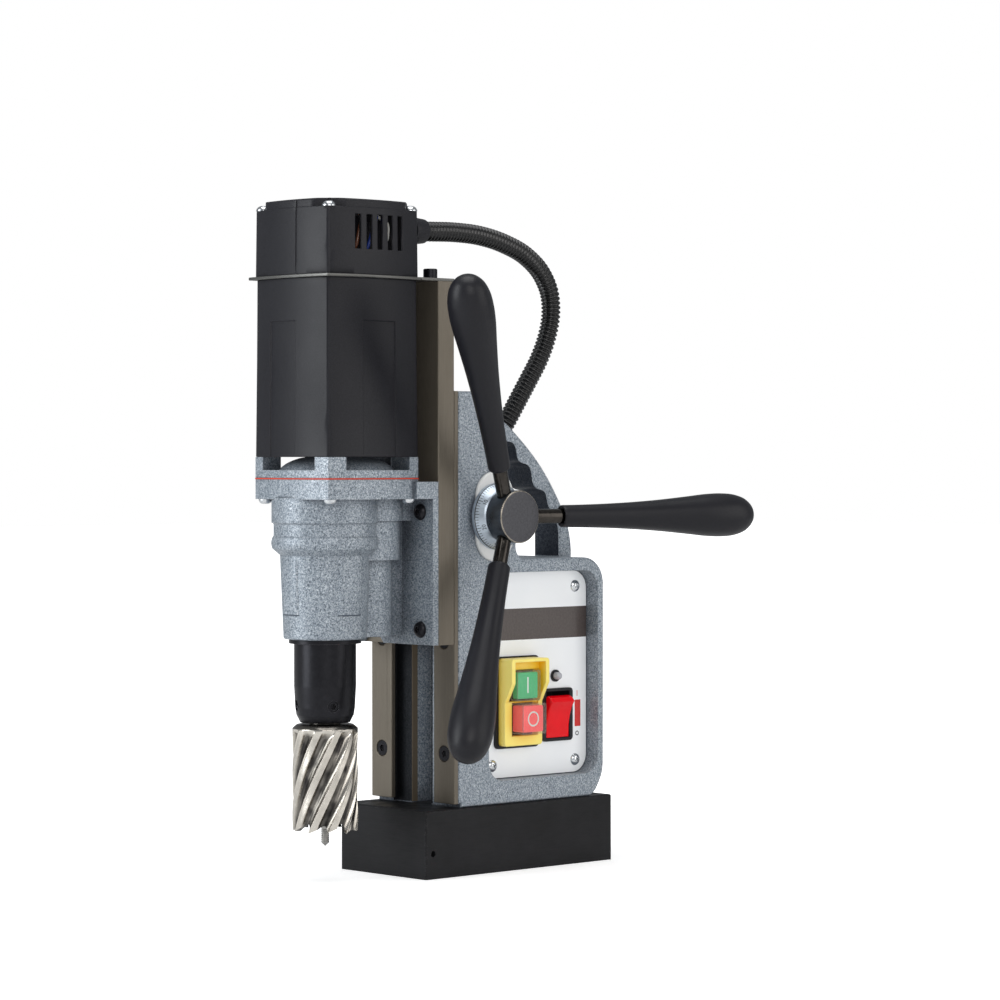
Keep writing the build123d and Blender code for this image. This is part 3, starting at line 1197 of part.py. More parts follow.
for position, angle in SPOKES.items():
    direction = spoke_direction(angle)
    # square to the spoke, in the wheel plane
    across = (0, -math.sin(math.radians(angle)), math.cos(math.radians(angle)))
    spoke_origin = (SPOKE_X, *PINION_AT)
    spoke_plane = Plane(origin=spoke_origin, x_dir=direction,
                        z_dir=Vector(*direction).cross(Vector(*across)))
    spoke_axis = Axis(spoke_origin, direction)
    # spoke with a thinner stud at its outer end
    with BuildPart() as spoke:
        with BuildSketch(spoke_plane):
            with BuildLine():
                Polyline((9.8, 0), (9.8, SPOKE_R), (STUD_START, SPOKE_R), (STUD_START, STUD_R),
                         (STUD_END, STUD_R), (STUD_END, 0), close=True)
            make_face()
        revolve(axis=spoke_axis)
    save(spoke, "spoke_" + position)
    # grip, bored to fit over the spoke end
    with BuildPart() as grip:
        with BuildSketch(spoke_plane):
            with BuildLine():
                Polyline((STUD_END + 0.2, 0), (STUD_END + 0.2, STUD_R + 0.02),
                         (STUD_START + 0.1, STUD_R + 0.02), (STUD_START + 0.1, SPOKE_R + 0.02),
                         (GRIP_START, SPOKE_R + 0.02), GRIP_OUTLINE[0])
                Spline(*GRIP_OUTLINE, tangents=((1.0, 0.015), (0.0, -1.0)))
                Line((GRIP_END, 0.0), (STUD_END + 0.2, 0))
            make_face()
        revolve(axis=spoke_axis)
    save(grip, "grip_" + position)

# ===========================================================================
# Hose between the cap and the carrying handle
# ===========================================================================
HOSE_R = 6.2
# centre line from the cap to the handle, (x, y, z)
HOSE_PATH = [
    (CABLE_X, -79.0, CABLE_Z), (CABLE_X, -70.0, CABLE_Z), (19.85, -60.9, 397.45),
    (18.3, -36.7, 398.1), (16.9, -14.2, 397.1), (15.4, 8.6, 393.0), (13.8, 28.8, 386.0),
    (12.3, 43.4, 376.1), (10.8, 52.3, 363.7), (9.2, 55.2, 350.0), (7.7, 53.0, 335.1),
    (6.2, 47.6, 321.2), (4.6, 40.2, 308.3), (3.1, 32.4, 295.5), (1.5, 25.6, 283.8),
    (0.2, 20.9, 275.6),
]

with BuildPart() as hose:
    with BuildLine():
        Spline(*HOSE_PATH, tangents=((0, 1, 0.0), (-0.03, -0.45, -0.89)))
    with BuildSketch(Plane(origin=HOSE_PATH[0], z_dir=(0, 1, 0))):
        Circle(HOSE_R)
    sweep()
save(hose, "hose")

# collar round the hose at the cap, (radius, y)
with BuildPart() as hose_fitting:
    with BuildSketch(Plane(origin=(CABLE_X, 0, CABLE_Z), z_dir=(0, 0, 1))):
        with BuildLine():
            Polyline((6.5, -75.9), (8.4, -75.9), (8.4, -73.0), (7.5, -65.0), (6.5, -65.0),
                     (6.5, -75.9))
        make_face()
    revolve(axis=Axis((CABLE_X, 0, CABLE_Z), (0, 1, 0)))
save(hose_fitting, "hose_fitting")
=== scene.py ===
"""Magnetic drilling machine, standing on its magnet on the floor at z = 0.

+Z is up. The motor and the cutter hang at the front (-Y). Shader lengths and the stage
are in metres, mesh dimensions in millimetres.
"""
import itertools
import math
import random
from functools import cached_property

import bmesh
import bpy
import numpy as np
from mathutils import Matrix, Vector


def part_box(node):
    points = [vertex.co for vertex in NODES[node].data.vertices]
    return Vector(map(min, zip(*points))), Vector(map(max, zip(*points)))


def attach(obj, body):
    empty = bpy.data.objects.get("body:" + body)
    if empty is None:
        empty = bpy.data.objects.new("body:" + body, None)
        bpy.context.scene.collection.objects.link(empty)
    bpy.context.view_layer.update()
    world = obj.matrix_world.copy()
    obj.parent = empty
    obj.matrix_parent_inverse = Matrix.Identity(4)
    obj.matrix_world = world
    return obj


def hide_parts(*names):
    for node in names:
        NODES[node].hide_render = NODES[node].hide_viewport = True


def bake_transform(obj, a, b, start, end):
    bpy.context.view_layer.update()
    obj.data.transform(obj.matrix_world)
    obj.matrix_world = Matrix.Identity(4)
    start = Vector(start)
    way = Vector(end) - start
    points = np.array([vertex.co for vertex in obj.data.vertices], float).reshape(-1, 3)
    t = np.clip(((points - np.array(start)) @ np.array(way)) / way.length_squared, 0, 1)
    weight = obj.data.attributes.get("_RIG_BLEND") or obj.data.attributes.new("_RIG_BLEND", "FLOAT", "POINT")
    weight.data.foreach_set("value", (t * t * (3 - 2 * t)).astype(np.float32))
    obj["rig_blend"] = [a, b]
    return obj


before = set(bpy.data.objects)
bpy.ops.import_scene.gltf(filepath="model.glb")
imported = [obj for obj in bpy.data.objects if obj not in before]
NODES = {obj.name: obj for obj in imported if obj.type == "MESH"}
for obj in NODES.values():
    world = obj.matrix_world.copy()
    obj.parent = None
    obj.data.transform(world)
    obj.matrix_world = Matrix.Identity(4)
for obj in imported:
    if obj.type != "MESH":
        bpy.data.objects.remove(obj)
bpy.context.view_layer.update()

random.seed(7)
scene = bpy.context.scene
MM = 0.001

# Dimensions shared between sections, in millimetres
CUTTER_BODY = 65.2                  # length of the cutter below its shank
FLUTE_TOP_GAP = 2.3                 # flutes end this far below the top of the body
MOTOR_Y = -117.1                    # vertical axis of the motor
CAP_SHOULDER_Z = 408.2              # corner shoulders of the motor cap
HANDLE_Y, HANDLE_Z = -22.6, 221.5   # handle axis, which runs along X


# ---------------------------------------------------------------------------
# Colours
# ---------------------------------------------------------------------------
def srgb(*channels):
    """8-bit screen colour to linear."""
    def linear(value):
        value = value / 255.0
        return value / 12.92 if value <= 0.04045 else ((value + 0.055) / 1.055) ** 2.4
    return (*map(linear, channels), 1.0)


def tint(color, scale, lift=0.0):
    """Colour scaled and then lifted, by one number or one per channel."""
    return (*(np.multiply(color[:3], scale) + lift), 1.0)


def capped(color):
    return tuple(min(1.0, value) for value in color)


# ---------------------------------------------------------------------------
# Shader kit
# ---------------------------------------------------------------------------
class Shader:
    """One material: a Principled shader and the nodes that feed it."""

    def __init__(self, name, edge_radius=None):
        self.material = bpy.data.materials.new(name)
        self.material.use_nodes = True
        self.tree = self.material.node_tree
        self.tree.nodes.clear()
        self.edge_radius = edge_radius
        self.principled = self.node("BsdfPrincipled")
        self.node("OutputMaterial", {0: self.principled.outputs[0]})
        self.position = self.node("TexCoord").outputs["Object"]

    def node(self, kind, inputs=None, **settings):
        node = self.tree.nodes.new("ShaderNode" + kind)
        for key, value in settings.items():
            setattr(node, key, value)
        for key, value in (inputs or {}).items():
            self.feed(node.inputs[key], value)
        return node

    def feed(self, socket, value):
        if isinstance(value, bpy.types.NodeSocket):
            self.tree.links.new(value, socket)
        else:
            socket.default_value = value

    def set(self, **values):
        """Feed the Principled inputs; underscores stand for spaces."""
        for key, value in values.items():
            self.feed(self.principled.inputs[key.replace("_", " ")], value)

    def mapping(self, scale, rotation=(0, 0, 0)):
        return self.node("Mapping", {
            "Vector": self.position, "Scale": scale, "Rotation": rotation}).outputs[0]

    def noise(self, scale, detail=2.0, rough=0.5, vector=None, distortion=0.0):
        return self.node("TexNoise", {
            "Vector": vector or self.position, "Scale": scale, "Detail": detail,
            "Roughness": rough, "Distortion": distortion}).outputs["Fac"]

    def math(self, operation, first, second=0.0, clamp=False):
        return self.node("Math", {0: first, 1: second, 2: 0.0},
                         operation=operation, use_clamp=clamp).outputs[0]

    def add(self, first, second, clamp=False):
        return self.math("ADD", first, second, clamp)

    def product(self, first, *others):
        for other in others:
            first = self.math("MULTIPLY", first, other)
        return first

    def below(self, value, limit):
        return self.math("LESS_THAN", value, limit)

    def above(self, value, limit):
        return self.math("GREATER_THAN", value, limit)

    def distance(self, x, y):
        return self.math("SQRT", self.add(self.product(x, x), self.product(y, y)))

    def remap(self, value, over=(0.3, 0.7), to=(0.0, 1.0)):
        return self.node("MapRange", dict(enumerate((value, *over, *to)))).outputs[0]

    def mix(self, factor, first, second):
        return self.node("Mix", {0: factor, 6: first, 7: second},
                         data_type="RGBA").outputs[2]

    def ramp(self, factor, stops):
        node = self.node("ValToRGB", {0: factor})
        elements = node.color_ramp.elements
        while len(elements) < len(stops):
            elements.new(0.5)
        for element, (position, color) in zip(elements, stops):
            element.position = position
            element.color = color
        return node.outputs[0]

    def xyz(self, vector=None):
        return self.node("SeparateXYZ", {0: vector or self.position}).outputs

    @cached_property
    def true_normal(self):
        return self.node("NewGeometry").outputs["Normal"]

    @cached_property
    def rounded_normal(self):
        """Normal with softened edges."""
        return self.node("Bevel", {"Radius": self.edge_radius}, samples=3).outputs[0]

    def edge(self, over):
        """Mask of edges, from the difference of the rounded and the true normal."""
        dot = self.node("VectorMath", {0: self.rounded_normal, 1: self.true_normal},
                        operation="DOT_PRODUCT").outputs["Value"]
        return self.remap(self.math("SUBTRACT", 1.0, dot), over=over)

    def worn(self, color, bright, amount, over=(0.03, 0.3)):
        """Colour with its edges mixed towards a brighter one."""
        return self.mix(self.product(self.edge(over), amount), color, bright)

    def occlusion(self, distance, samples):
        return self.node("AmbientOcclusion", {"Distance": distance},
                         samples=samples).outputs["AO"]

    def bump(self, height, strength, distance):
        return self.node("Bump", {
            "Strength": strength, "Distance": distance, "Height": height,
            "Normal": self.rounded_normal}).outputs[0]


# ---------------------------------------------------------------------------
# Materials
# ---------------------------------------------------------------------------
def hammered_enamel():
    """Grey-blue hammer enamel: fine curling grain, darker in the pits, worn on edges, with painted shade in
    corners, under ledges and on the handle's inner walls.
    """
    mat = Shader("hammered_enamel", edge_radius=0.0009)
    cloud = mat.noise(scale=14)
    warp = mat.noise(scale=520, detail=1.0)
    grain = mat.noise(scale=1050, detail=1.5, rough=0.55, distortion=0.9)
    fine = mat.noise(scale=2100, detail=1.0)
    grain_share, fine_share, warp_share = 0.72, 0.28, 0.10
    height = mat.add(mat.product(grain, grain_share), mat.product(fine, fine_share))
    height = mat.add(height, mat.product(mat.math("SUBTRACT", warp, 0.5), warp_share))
    color = mat.ramp(height, [
        (0.30, srgb(66, 76, 86)), (0.43, srgb(114, 124, 134)),
        (0.53, srgb(154, 163, 172)), (0.70, srgb(206, 212, 218))])
    clouding = mat.remap(cloud, over=(0.38, 0.66), to=(0.0, 0.10))
    color = mat.mix(clouding, color, srgb(118, 128, 140))
    color = mat.worn(color, srgb(200, 206, 212), amount=0.28, over=(0.03, 0.35))
    # painted shade: darker in narrow corners and under ledges, from the ambient occlusion
    open_air = mat.occlusion(distance=0.016, samples=4)
    painted_shade = mat.remap(open_air, over=(0.35, 0.88), to=(0.72, 0.0))
    color = mat.mix(painted_shade, color, srgb(40, 46, 58))
    # painted shade on the inner walls of the carrying handle, darkest where they face the column; limits in
    # metres
    x, y, z = mat.xyz()
    _, normal_y, normal_z = mat.xyz(mat.true_normal)
    off_middle = mat.math("ABSOLUTE", x)
    tilt = mat.add(normal_y, mat.product(normal_z, 0.6))
    handle = mat.product(mat.below(off_middle, 0.01092), mat.above(z, 0.1950),
                         mat.above(y, -0.0020),
                         mat.remap(tilt, over=(-0.10, 0.25), to=(1.0, 0.0)))
    handle_shade_strength, channel_strength = 0.86, 0.95
    color = mat.mix(mat.product(handle, handle_shade_strength), color, srgb(26, 30, 42))
    # machined channel between the guides, with a lighter line along one arris
    channel = mat.product(mat.below(y, -0.0432), mat.above(y, -0.0528),
                          mat.below(off_middle, 0.0242), mat.below(x, 0.0100),
                          mat.above(z, 0.0425))
    color = mat.mix(mat.product(channel, channel_strength), color, srgb(14, 14, 16))
    arris_x, arris_half_width = -0.0091, 0.00035
    off_arris = mat.math("ABSOLUTE", mat.add(x, -arris_x))
    color = mat.mix(mat.product(channel, mat.below(off_arris, arris_half_width)),
                    color, srgb(104, 94, 80))

    def outside_to_inside(outside, inside):
        """Value that changes inside the handle's painted shade and in the channel."""
        dark = mat.math("MAXIMUM", handle, channel)
        return mat.remap(dark, over=(0.0, 1.0), to=(outside, inside))

    mat.set(Base_Color=color,
            Specular_IOR_Level=outside_to_inside(0.42, 0.05),
            Metallic=outside_to_inside(0.18, 0.0),
            Roughness=mat.remap(grain, to=(0.44, 0.34)),
            Normal=mat.bump(height, strength=0.42, distance=0.00022),
            Coat_Weight=0.05, Coat_Roughness=0.3)
    return mat.material


def textured_plastic(name, base, rough, grain=900, strength=0.25, spec=0.5, variation=0.25):
    mat = Shader(name, edge_radius=0.0006)
    fine = mat.noise(scale=grain, rough=0.6)
    cloud = mat.noise(scale=24, detail=3.0)
    cells = mat.node("TexVoronoi", {
        "Vector": mat.position, "Scale": grain * 0.7}).outputs["Distance"]
    color = mat.mix(mat.remap(fine), tint(base, 1 - variation), tint(base, 1 + variation))
    bright = tint(base, 2.1, lift=(0.012, 0.012, 0.013))
    color = mat.worn(color, bright, amount=0.35)
    height = mat.add(fine, mat.product(cells, 0.6))
    mat.set(Base_Color=color, Specular_IOR_Level=spec,
            Roughness=mat.add(mat.remap(cloud, to=(-0.05, 0.06)), rough),
            Normal=mat.bump(height, strength=strength, distance=0.00008))
    return mat.material


def black_enamel():
    mat = Shader("black_enamel", edge_radius=0.0010)
    fine = mat.noise(scale=420, detail=3.0, rough=0.6)
    cloud = mat.noise(scale=30, detail=3.0, rough=0.6)
    stretched = mat.mapping(scale=(1, 1, 14), rotation=(0.3, 0.2, 0.0))
    scratches = mat.noise(scale=90, detail=4.0, rough=0.7, vector=stretched)
    color = mat.mix(mat.remap(cloud), srgb(20, 20, 22), srgb(29, 29, 32))
    patches = mat.remap(fine, over=(0.45, 0.62))
    wear_amount, base_rough = 0.55, 0.42
    wear = mat.product(mat.edge(over=(0.04, 0.35)), patches, wear_amount)
    streaks = mat.remap(scratches, over=(0.4, 0.6), to=(-0.06, 0.1))
    mat.set(Base_Color=mat.mix(wear, color, srgb(120, 120, 122)),
            Roughness=mat.add(base_rough, streaks), Specular_IOR_Level=0.22,
            Normal=mat.bump(fine, strength=0.18, distance=0.0001))
    return mat.material


def ground_steel(name, base, direction, rough, contrast=0.10, metallic=1.0):
    """Steel with fine grinding lines that run along the given axis."""
    mat = Shader(name, edge_radius=0.0006)
    stretch = [60.0, 60.0, 60.0]
    stretch["XYZ".index(direction)] = 1.0
    lines = mat.noise(scale=60, detail=6.0, rough=0.75, vector=mat.mapping(stretch))
    fine = mat.noise(scale=160, detail=4.0, rough=0.7, vector=mat.mapping(stretch))
    blotches = mat.noise(scale=22, detail=3.0, rough=0.6)
    color = mat.mix(mat.remap(lines, over=(0.38, 0.62)),
                    tint(base, 1 - contrast), capped(tint(base, 1 + contrast)))
    color = mat.mix(mat.remap(blotches, over=(0.45, 0.75), to=(0.0, 0.25)),
                    color, tint(base, (0.75, 0.72, 0.66)))
    color = mat.worn(color, capped(tint(base, 1.8)), amount=0.5)
    streaks = mat.remap(fine, over=(0.35, 0.65), to=(-0.07, 0.09))
    mat.set(Base_Color=color, Metallic=metallic, Roughness=mat.add(rough, streaks),
            Normal=mat.bump(mat.add(lines, fine), strength=0.16, distance=0.00006))
    return mat.material


def black_oxide():
    mat = Shader("black_oxide", edge_radius=0.0006)
    mottle = mat.noise(scale=300, detail=4.0, rough=0.7)
    fine = mat.noise(scale=1500)
    color = mat.mix(mat.remap(mottle, over=(0.35, 0.65)), srgb(34, 34, 38), srgb(39, 39, 43))
    color = mat.worn(color, srgb(120, 120, 124), amount=0.55, over=(0.04, 0.3))
    mat.set(Base_Color=color, Metallic=0.75, Roughness=mat.remap(mottle, to=(0.29, 0.33)),
            Normal=mat.bump(fine, strength=0.10, distance=0.00005))
    return mat.material


def zinc_plate():
    mat = Shader("zinc_plate", edge_radius=0.0003)
    fine = mat.noise(scale=500, detail=3.0, rough=0.6)
    mat.set(Base_Color=mat.mix(mat.remap(fine), srgb(200, 204, 208), srgb(236, 238, 240)),
            Metallic=1.0, Roughness=mat.remap(fine, to=(0.12, 0.24)),
            Normal=mat.bump(fine, strength=0.1, distance=0.00004))
    return mat.material


def plain_metal(name, dark, light, rough=0.3, metallic=1.0, scale=400):
    mat = Shader(name, edge_radius=0.0005)
    mottle = mat.noise(scale=scale, detail=4.0, rough=0.65)
    fine = mat.noise(scale=scale * 4)
    color = mat.worn(mat.mix(mat.remap(mottle), dark, light),
                     capped(tint(light, 1.5)), amount=0.4, over=(0.04, 0.3))
    mat.set(Base_Color=color, Metallic=metallic,
            Roughness=mat.add(rough, mat.remap(mottle, to=(-0.06, 0.08))),
            Normal=mat.bump(fine, strength=0.12, distance=0.00005))
    return mat.material


def gloss_plastic(name, base, rough, coat=0.3, spec=0.5, glow=0.0):
    mat = Shader(name, edge_radius=0.0005)
    fine = mat.noise(scale=600)
    cloud = mat.noise(scale=40, detail=3.0, rough=0.6)
    color = mat.mix(mat.remap(cloud), tint(base, 0.90), capped(tint(base, 1.07)))
    bright = capped(tint(base, (1.15, 1.25, 1.25), lift=(0.04, 0.06, 0.06)))
    color = mat.worn(color, bright, amount=0.30)
    mat.set(Base_Color=color, Coat_Weight=coat, Coat_Roughness=0.12, Specular_IOR_Level=spec,
            Roughness=mat.add(rough, mat.remap(fine, to=(-0.03, 0.05))),
            Normal=mat.bump(fine, strength=0.06, distance=0.00005))
    # painted light: the glow is a faint emission that brightens the part, though it is no lamp
    if glow:
        mat.set(Emission_Color=color, Emission_Strength=glow)
    return mat.material


def yellow_moulding():
    """Soft yellow moulding with painted shade that turns it amber in its recesses, and a faint painted glow.
    """
    mat = Shader("yellow_moulding", edge_radius=0.0012)
    fine = mat.noise(scale=600)
    cloud = mat.noise(scale=40, detail=3.0, rough=0.6)
    open_air = mat.occlusion(distance=0.011, samples=6)
    color = mat.mix(mat.remap(cloud), srgb(244, 224, 112), srgb(248, 230, 124))
    # painted shade: amber where the ambient occlusion finds recesses
    color = mat.mix(mat.remap(open_air, over=(0.30, 0.92), to=(1.0, 0.0)),
                    color, srgb(228, 176, 8))
    color = mat.worn(color, srgb(252, 240, 170), amount=0.35)
    base_rough = 0.34
    # painted light: a faint emission brightens the moulding, though it is no lamp
    mat.set(Base_Color=color, Emission_Color=color, Emission_Strength=0.12,
            Roughness=mat.add(base_rough, mat.remap(fine, to=(-0.03, 0.05))),
            Normal=mat.bump(fine, strength=0.06, distance=0.00005),
            Coat_Weight=0.15, Coat_Roughness=0.2)
    return mat.material


def clear_plastic():
    """Clear moulded boot: see-through face on, hazy grey at its rims."""
    mat = Shader("clear_cover_plastic", edge_radius=0.0009)
    fine = mat.noise(scale=300)
    facing = mat.node("LayerWeight", {"Blend": 0.35}).outputs["Facing"]
    rim = mat.edge(over=(0.01, 0.12))
    rim_alpha = 0.62
    alpha = mat.add(mat.remap(facing, over=(0.25, 0.95), to=(0.05, 0.35)),
                    mat.product(rim, rim_alpha), clamp=True)
    mat.set(Base_Color=mat.mix(rim, srgb(206, 202, 190), srgb(170, 164, 148)), Alpha=alpha,
            Roughness=mat.remap(fine, to=(0.06, 0.14)), Specular_IOR_Level=0.7,
            Normal=mat.bump(fine, strength=0.05, distance=0.00005))
    return mat.material


def printed_plate():
    """White printed plate with a dark band across it and a faint painted glow."""
    band_bottom, band_top = 0.1432, 0.1630
    mat = Shader("printed_plate", edge_radius=0.0005)
    z = mat.xyz()[2]
    fine = mat.noise(scale=700, detail=3.0, rough=0.6)
    cloud = mat.noise(scale=18)
    white = mat.mix(mat.remap(cloud), srgb(232, 235, 238), srgb(240, 242, 244))
    dark = mat.mix(mat.remap(fine), srgb(66, 58, 56), srgb(78, 70, 67))
    band = mat.product(mat.below(z, band_top), mat.above(z, band_bottom))
    color = mat.mix(band, white, dark)
    # painted light: a faint emission brightens the plate, though it is no lamp
    mat.set(Base_Color=color, Emission_Color=color, Emission_Strength=0.10,
            Metallic=0.0, Roughness=mat.remap(fine, to=(0.30, 0.38)),
            Normal=mat.bump(fine, strength=0.05, distance=0.00004),
            Coat_Weight=0.15, Coat_Roughness=0.2)
    return mat.material


def fluted_tool_steel():
    """Ground tool steel: bright lands, flutes with darker milled floors."""
    low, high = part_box("annular_cutter")
    radius = (high[0] - low[0]) / 2
    chamfer_z = low[2] + (CUTTER_BODY - FLUTE_TOP_GAP) * MM
    chamfer_inner_radius, oxide_amount = 0.0125, 0.75
    mat = Shader("fluted_tool_steel", edge_radius=0.0003)
    x, y, z = mat.xyz()
    off_axis = mat.distance(mat.math("SUBTRACT", x, (low[0] + high[0]) / 2),
                            mat.math("SUBTRACT", y, (low[1] + high[1]) / 2))
    mottle = mat.noise(scale=260, detail=4.0, rough=0.65)
    fine = mat.noise(scale=1100)
    blotches = mat.noise(scale=95, detail=1.0)
    land = mat.mix(mat.remap(mottle), srgb(206, 200, 190), srgb(232, 226, 216))
    milled = mat.mix(mat.remap(blotches, over=(0.40, 0.60)),
                     srgb(58, 56, 55), srgb(122, 118, 112))
    deep = mat.remap(off_axis, over=(radius - 0.0026, radius - 0.0006), to=(1.0, 0.0))
    color = mat.mix(deep, land, milled)
    # the chamfer above the flutes is oxidised
    chamfer = mat.product(mat.above(z, chamfer_z), mat.above(off_axis, chamfer_inner_radius))
    color = mat.mix(mat.product(chamfer, oxide_amount), color, srgb(60, 57, 55))
    rough = mat.add(mat.remap(deep, over=(0.0, 1.0), to=(0.20, 0.30)),
                    mat.remap(mottle, to=(-0.04, 0.05)))
    mat.set(Base_Color=color, Metallic=1.0, Roughness=rough,
            Normal=mat.bump(fine, strength=0.10, distance=0.00004))
    return mat.material


INK = dict(grain=900, strength=0.05)
BUTTON = dict(rough=0.30, coat=0.1, spec=0.3)
MATS = dict(
    hammer=hammered_enamel(),
    magnet=black_enamel(),
    plastic=textured_plastic("black_moulding", srgb(29, 29, 34), rough=0.40, grain=1300,
                             strength=0.30, spec=0.25),
    grip=textured_plastic("grip_moulding", srgb(26, 26, 31), rough=0.38, grain=2200,
                          strength=0.16, variation=0.15, spec=0.28),
    hose=textured_plastic("conduit_black", srgb(11, 11, 12), rough=0.26, strength=0.12,
                          spec=0.55),
    slide=ground_steel("ground_slide", srgb(112, 105, 94), direction="Z", rough=0.44,
                       metallic=0.55),
    oxide=black_oxide(),
    zinc=zinc_plate(),
    hss=plain_metal("cutter_steel", srgb(214, 208, 200), srgb(240, 236, 230), rough=0.16,
                    scale=260),
    gear=plain_metal("machined_steel", srgb(150, 148, 144), srgb(184, 182, 178)),
    plate=ground_steel("sheet_steel", srgb(110, 110, 108), direction="Y", rough=0.40),
    dial=plain_metal("dial_alloy", srgb(176, 188, 200), srgb(198, 208, 218), rough=0.34,
                     metallic=0.85),
    offwhite=gloss_plastic("off_white_enamel", srgb(222, 223, 222), rough=0.35),
    yellow=yellow_moulding(),
    # green, red and rocker mouldings carry a faint painted glow
    green=gloss_plastic("green_moulding", srgb(74, 190, 128), glow=0.06, **BUTTON),
    red=gloss_plastic("red_moulding", srgb(248, 96, 98), glow=0.16, **BUTTON),
    rocker=gloss_plastic("rocker_red", srgb(226, 4, 20), rough=0.16, coat=0.12, spec=0.22,
                         glow=0.12),
    clear=clear_plastic(),
    lens=gloss_plastic("lamp_lens_grey", srgb(170, 172, 180), rough=0.12, coat=0.6),
    gasket=gloss_plastic("gasket_red", srgb(206, 62, 40), rough=0.5, coat=0.0),
    copper=plain_metal("copper_winding", srgb(170, 96, 56), srgb(206, 128, 84), rough=0.35,
                       scale=500),
    lam=ground_steel("laminations", srgb(96, 96, 98), direction="X", rough=0.45,
                     contrast=0.2),
    bronze=plain_metal("sintered_bronze", srgb(160, 120, 76), srgb(186, 146, 98), rough=0.4),
    pcb=gloss_plastic("board_green", srgb(20, 90, 52), rough=0.35),
    carbon=textured_plastic("carbon_block", srgb(30, 30, 30), rough=0.7, strength=0.2),
    rod=plain_metal("rod_black_oxide", srgb(60, 57, 54), srgb(78, 74, 70), rough=0.14,
                    scale=260),
    hubside=plain_metal("hub_side_black", srgb(84, 90, 98), srgb(100, 106, 114), rough=0.32,
                        metallic=0.9, scale=160),
    hubface=plain_metal("hub_face_brushed", srgb(66, 66, 70), srgb(84, 84, 88), rough=0.42,
                        metallic=0.6, scale=700),
    edge=plain_metal("bright_turned_edge", srgb(140, 134, 124), srgb(172, 164, 152),
                     rough=0.26, scale=500),
    dialedge=plain_metal("dial_dark_edge", srgb(24, 22, 20), srgb(40, 36, 32), rough=0.4,
                         metallic=0.6, scale=500),
    ink=textured_plastic("black_ink", srgb(16, 18, 24), rough=0.5, variation=0.1, **INK),
    white_ink=textured_plastic("white_ink", srgb(226, 236, 230), rough=0.45,
                               variation=0.05, **INK),
    print_red=textured_plastic("red_ink", srgb(214, 52, 48), rough=0.45,
                               variation=0.08, **INK),
    # painted shadow for the undersides of the nose pads
    pad_shadow=textured_plastic("painted_pad_shadow", srgb(84, 92, 102), rough=0.6, strength=0.2,
                             spec=0.2),
    wire_blue=gloss_plastic("wire_blue", srgb(20, 52, 140), rough=0.35),
    wire_white=gloss_plastic("wire_white", srgb(214, 214, 208), rough=0.35),
    wire_brown=gloss_plastic("wire_brown", srgb(96, 56, 34), rough=0.35),
    panel=printed_plate(),
    cutter=fluted_tool_steel(),
)

# CAD pieces that wear each material
PIECES = dict(
    hammer="frame_casting gearbox_housing gearbox_cover",
    magnet="magnet_housing",
    plastic="motor_body motor_cap switch_base rocker_bezel hose_fitting lamp_bezel "
            "cooling_fan",
    grip="grip_rear grip_upper grip_lower",
    hose="hose",
    slide="slide_plate guide_strip_left guide_strip_right rack",
    oxide="arbor grub_screws handle_hub spoke_rear spoke_upper spoke_lower bracket_screws "
          "slide_top_screws guide_strip_screws magnet_bolts",
    zinc="cap_screws gearbox_screws panel_screws",
    hss="annular_cutter pilot_pin",
    gear="armature_shaft countershaft spindle_shaft pinion_shaft ejector_spring "
         "ball_bearings",
    plate="support_plate",
    dial="dial_ring",
    panel="panel_plate",
    offwhite="pinion_flange",
    yellow="switch_guard",
    green="start_button",
    red="stop_button",
    rocker="rocker",
    clear="start_button_cover stop_button_cover",
    lens="lamp_lens",
    gasket="gearbox_gasket",
    copper="magnet_coil field_coils commutator",
    lam="stator_core armature_core",
    bronze="pinion_bushes",
    pcb="control_board",
    carbon="carbon_brushes",
)


def dress_cad_pieces():
    for key, names in PIECES.items():
        for name in names.split():
            # the CAD set may lack a piece
            if name in NODES:
                slots = NODES[name].data.materials
                slots.clear()
                slots.append(MATS[key])


dress_cad_pieces()


# ---------------------------------------------------------------------------
# Mesh kit, in millimetres
# ---------------------------------------------------------------------------
def mm_box(name):
    """Low and high corners of a CAD piece."""
    return [[value * 1000 for value in corner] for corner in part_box(name)]


def box_axis(low, high):
    """Place in plan of a box's vertical axis."""
    return (low[0] + high[0]) / 2, (low[1] + high[1]) / 2


def build(name, shape, mats, body, sharp=40, face_mats=None, hide=()):
    """A mesh object from (verts, faces), riding on a body.

    mats is one key of MATS or a tuple of them; hide names the CAD pieces it replaces.
    """
    verts, faces = shape
    mesh = bpy.data.meshes.new(name)
    mesh.from_pydata([(x * MM, y * MM, z * MM) for x, y, z in verts], [], faces)
    for key in ((mats,) if isinstance(mats, str) else mats):
        mesh.materials.append(MATS[key])
    if face_mats is not None:
        mesh.polygons.foreach_set("material_index", face_mats)
    work = bmesh.new()
    work.from_mesh(mesh)
    bmesh.ops.remove_doubles(work, verts=work.verts, dist=1e-7)
    bmesh.ops.recalc_face_normals(work, faces=work.faces)
    work.to_mesh(mesh)
    work.free()
    mesh.update()
    mesh.shade_smooth()
    mesh.set_sharp_from_angle(angle=math.radians(sharp))
    piece = bpy.data.objects.new(name, mesh)
    scene.collection.objects.link(piece)
    if body:
        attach(piece, body)
    if hide:
        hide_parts(*hide)
    return piece


def add_ring(verts, rings, points):
    """Append the points and record their vertex numbers as a ring."""
    rings.append(list(range(len(verts), len(verts) + len(points))))
    verts += points


def ring_faces(rings):
    """Faces between neighbouring rings; a ring of one vertex is a pole."""
    faces = []
    for first, second in zip(rings, rings[1:]):
        count = max(len(first), len(second))
        for k in range(count):
            after = (k + 1) % count
            if len(first) == 1:
                faces.append((first[0], second[after], second[k]))
            elif len(second) == 1:
                faces.append((first[k], first[after], second[0]))
            else:
                faces.append((first[k], first[after], second[after], second[k]))
    return faces


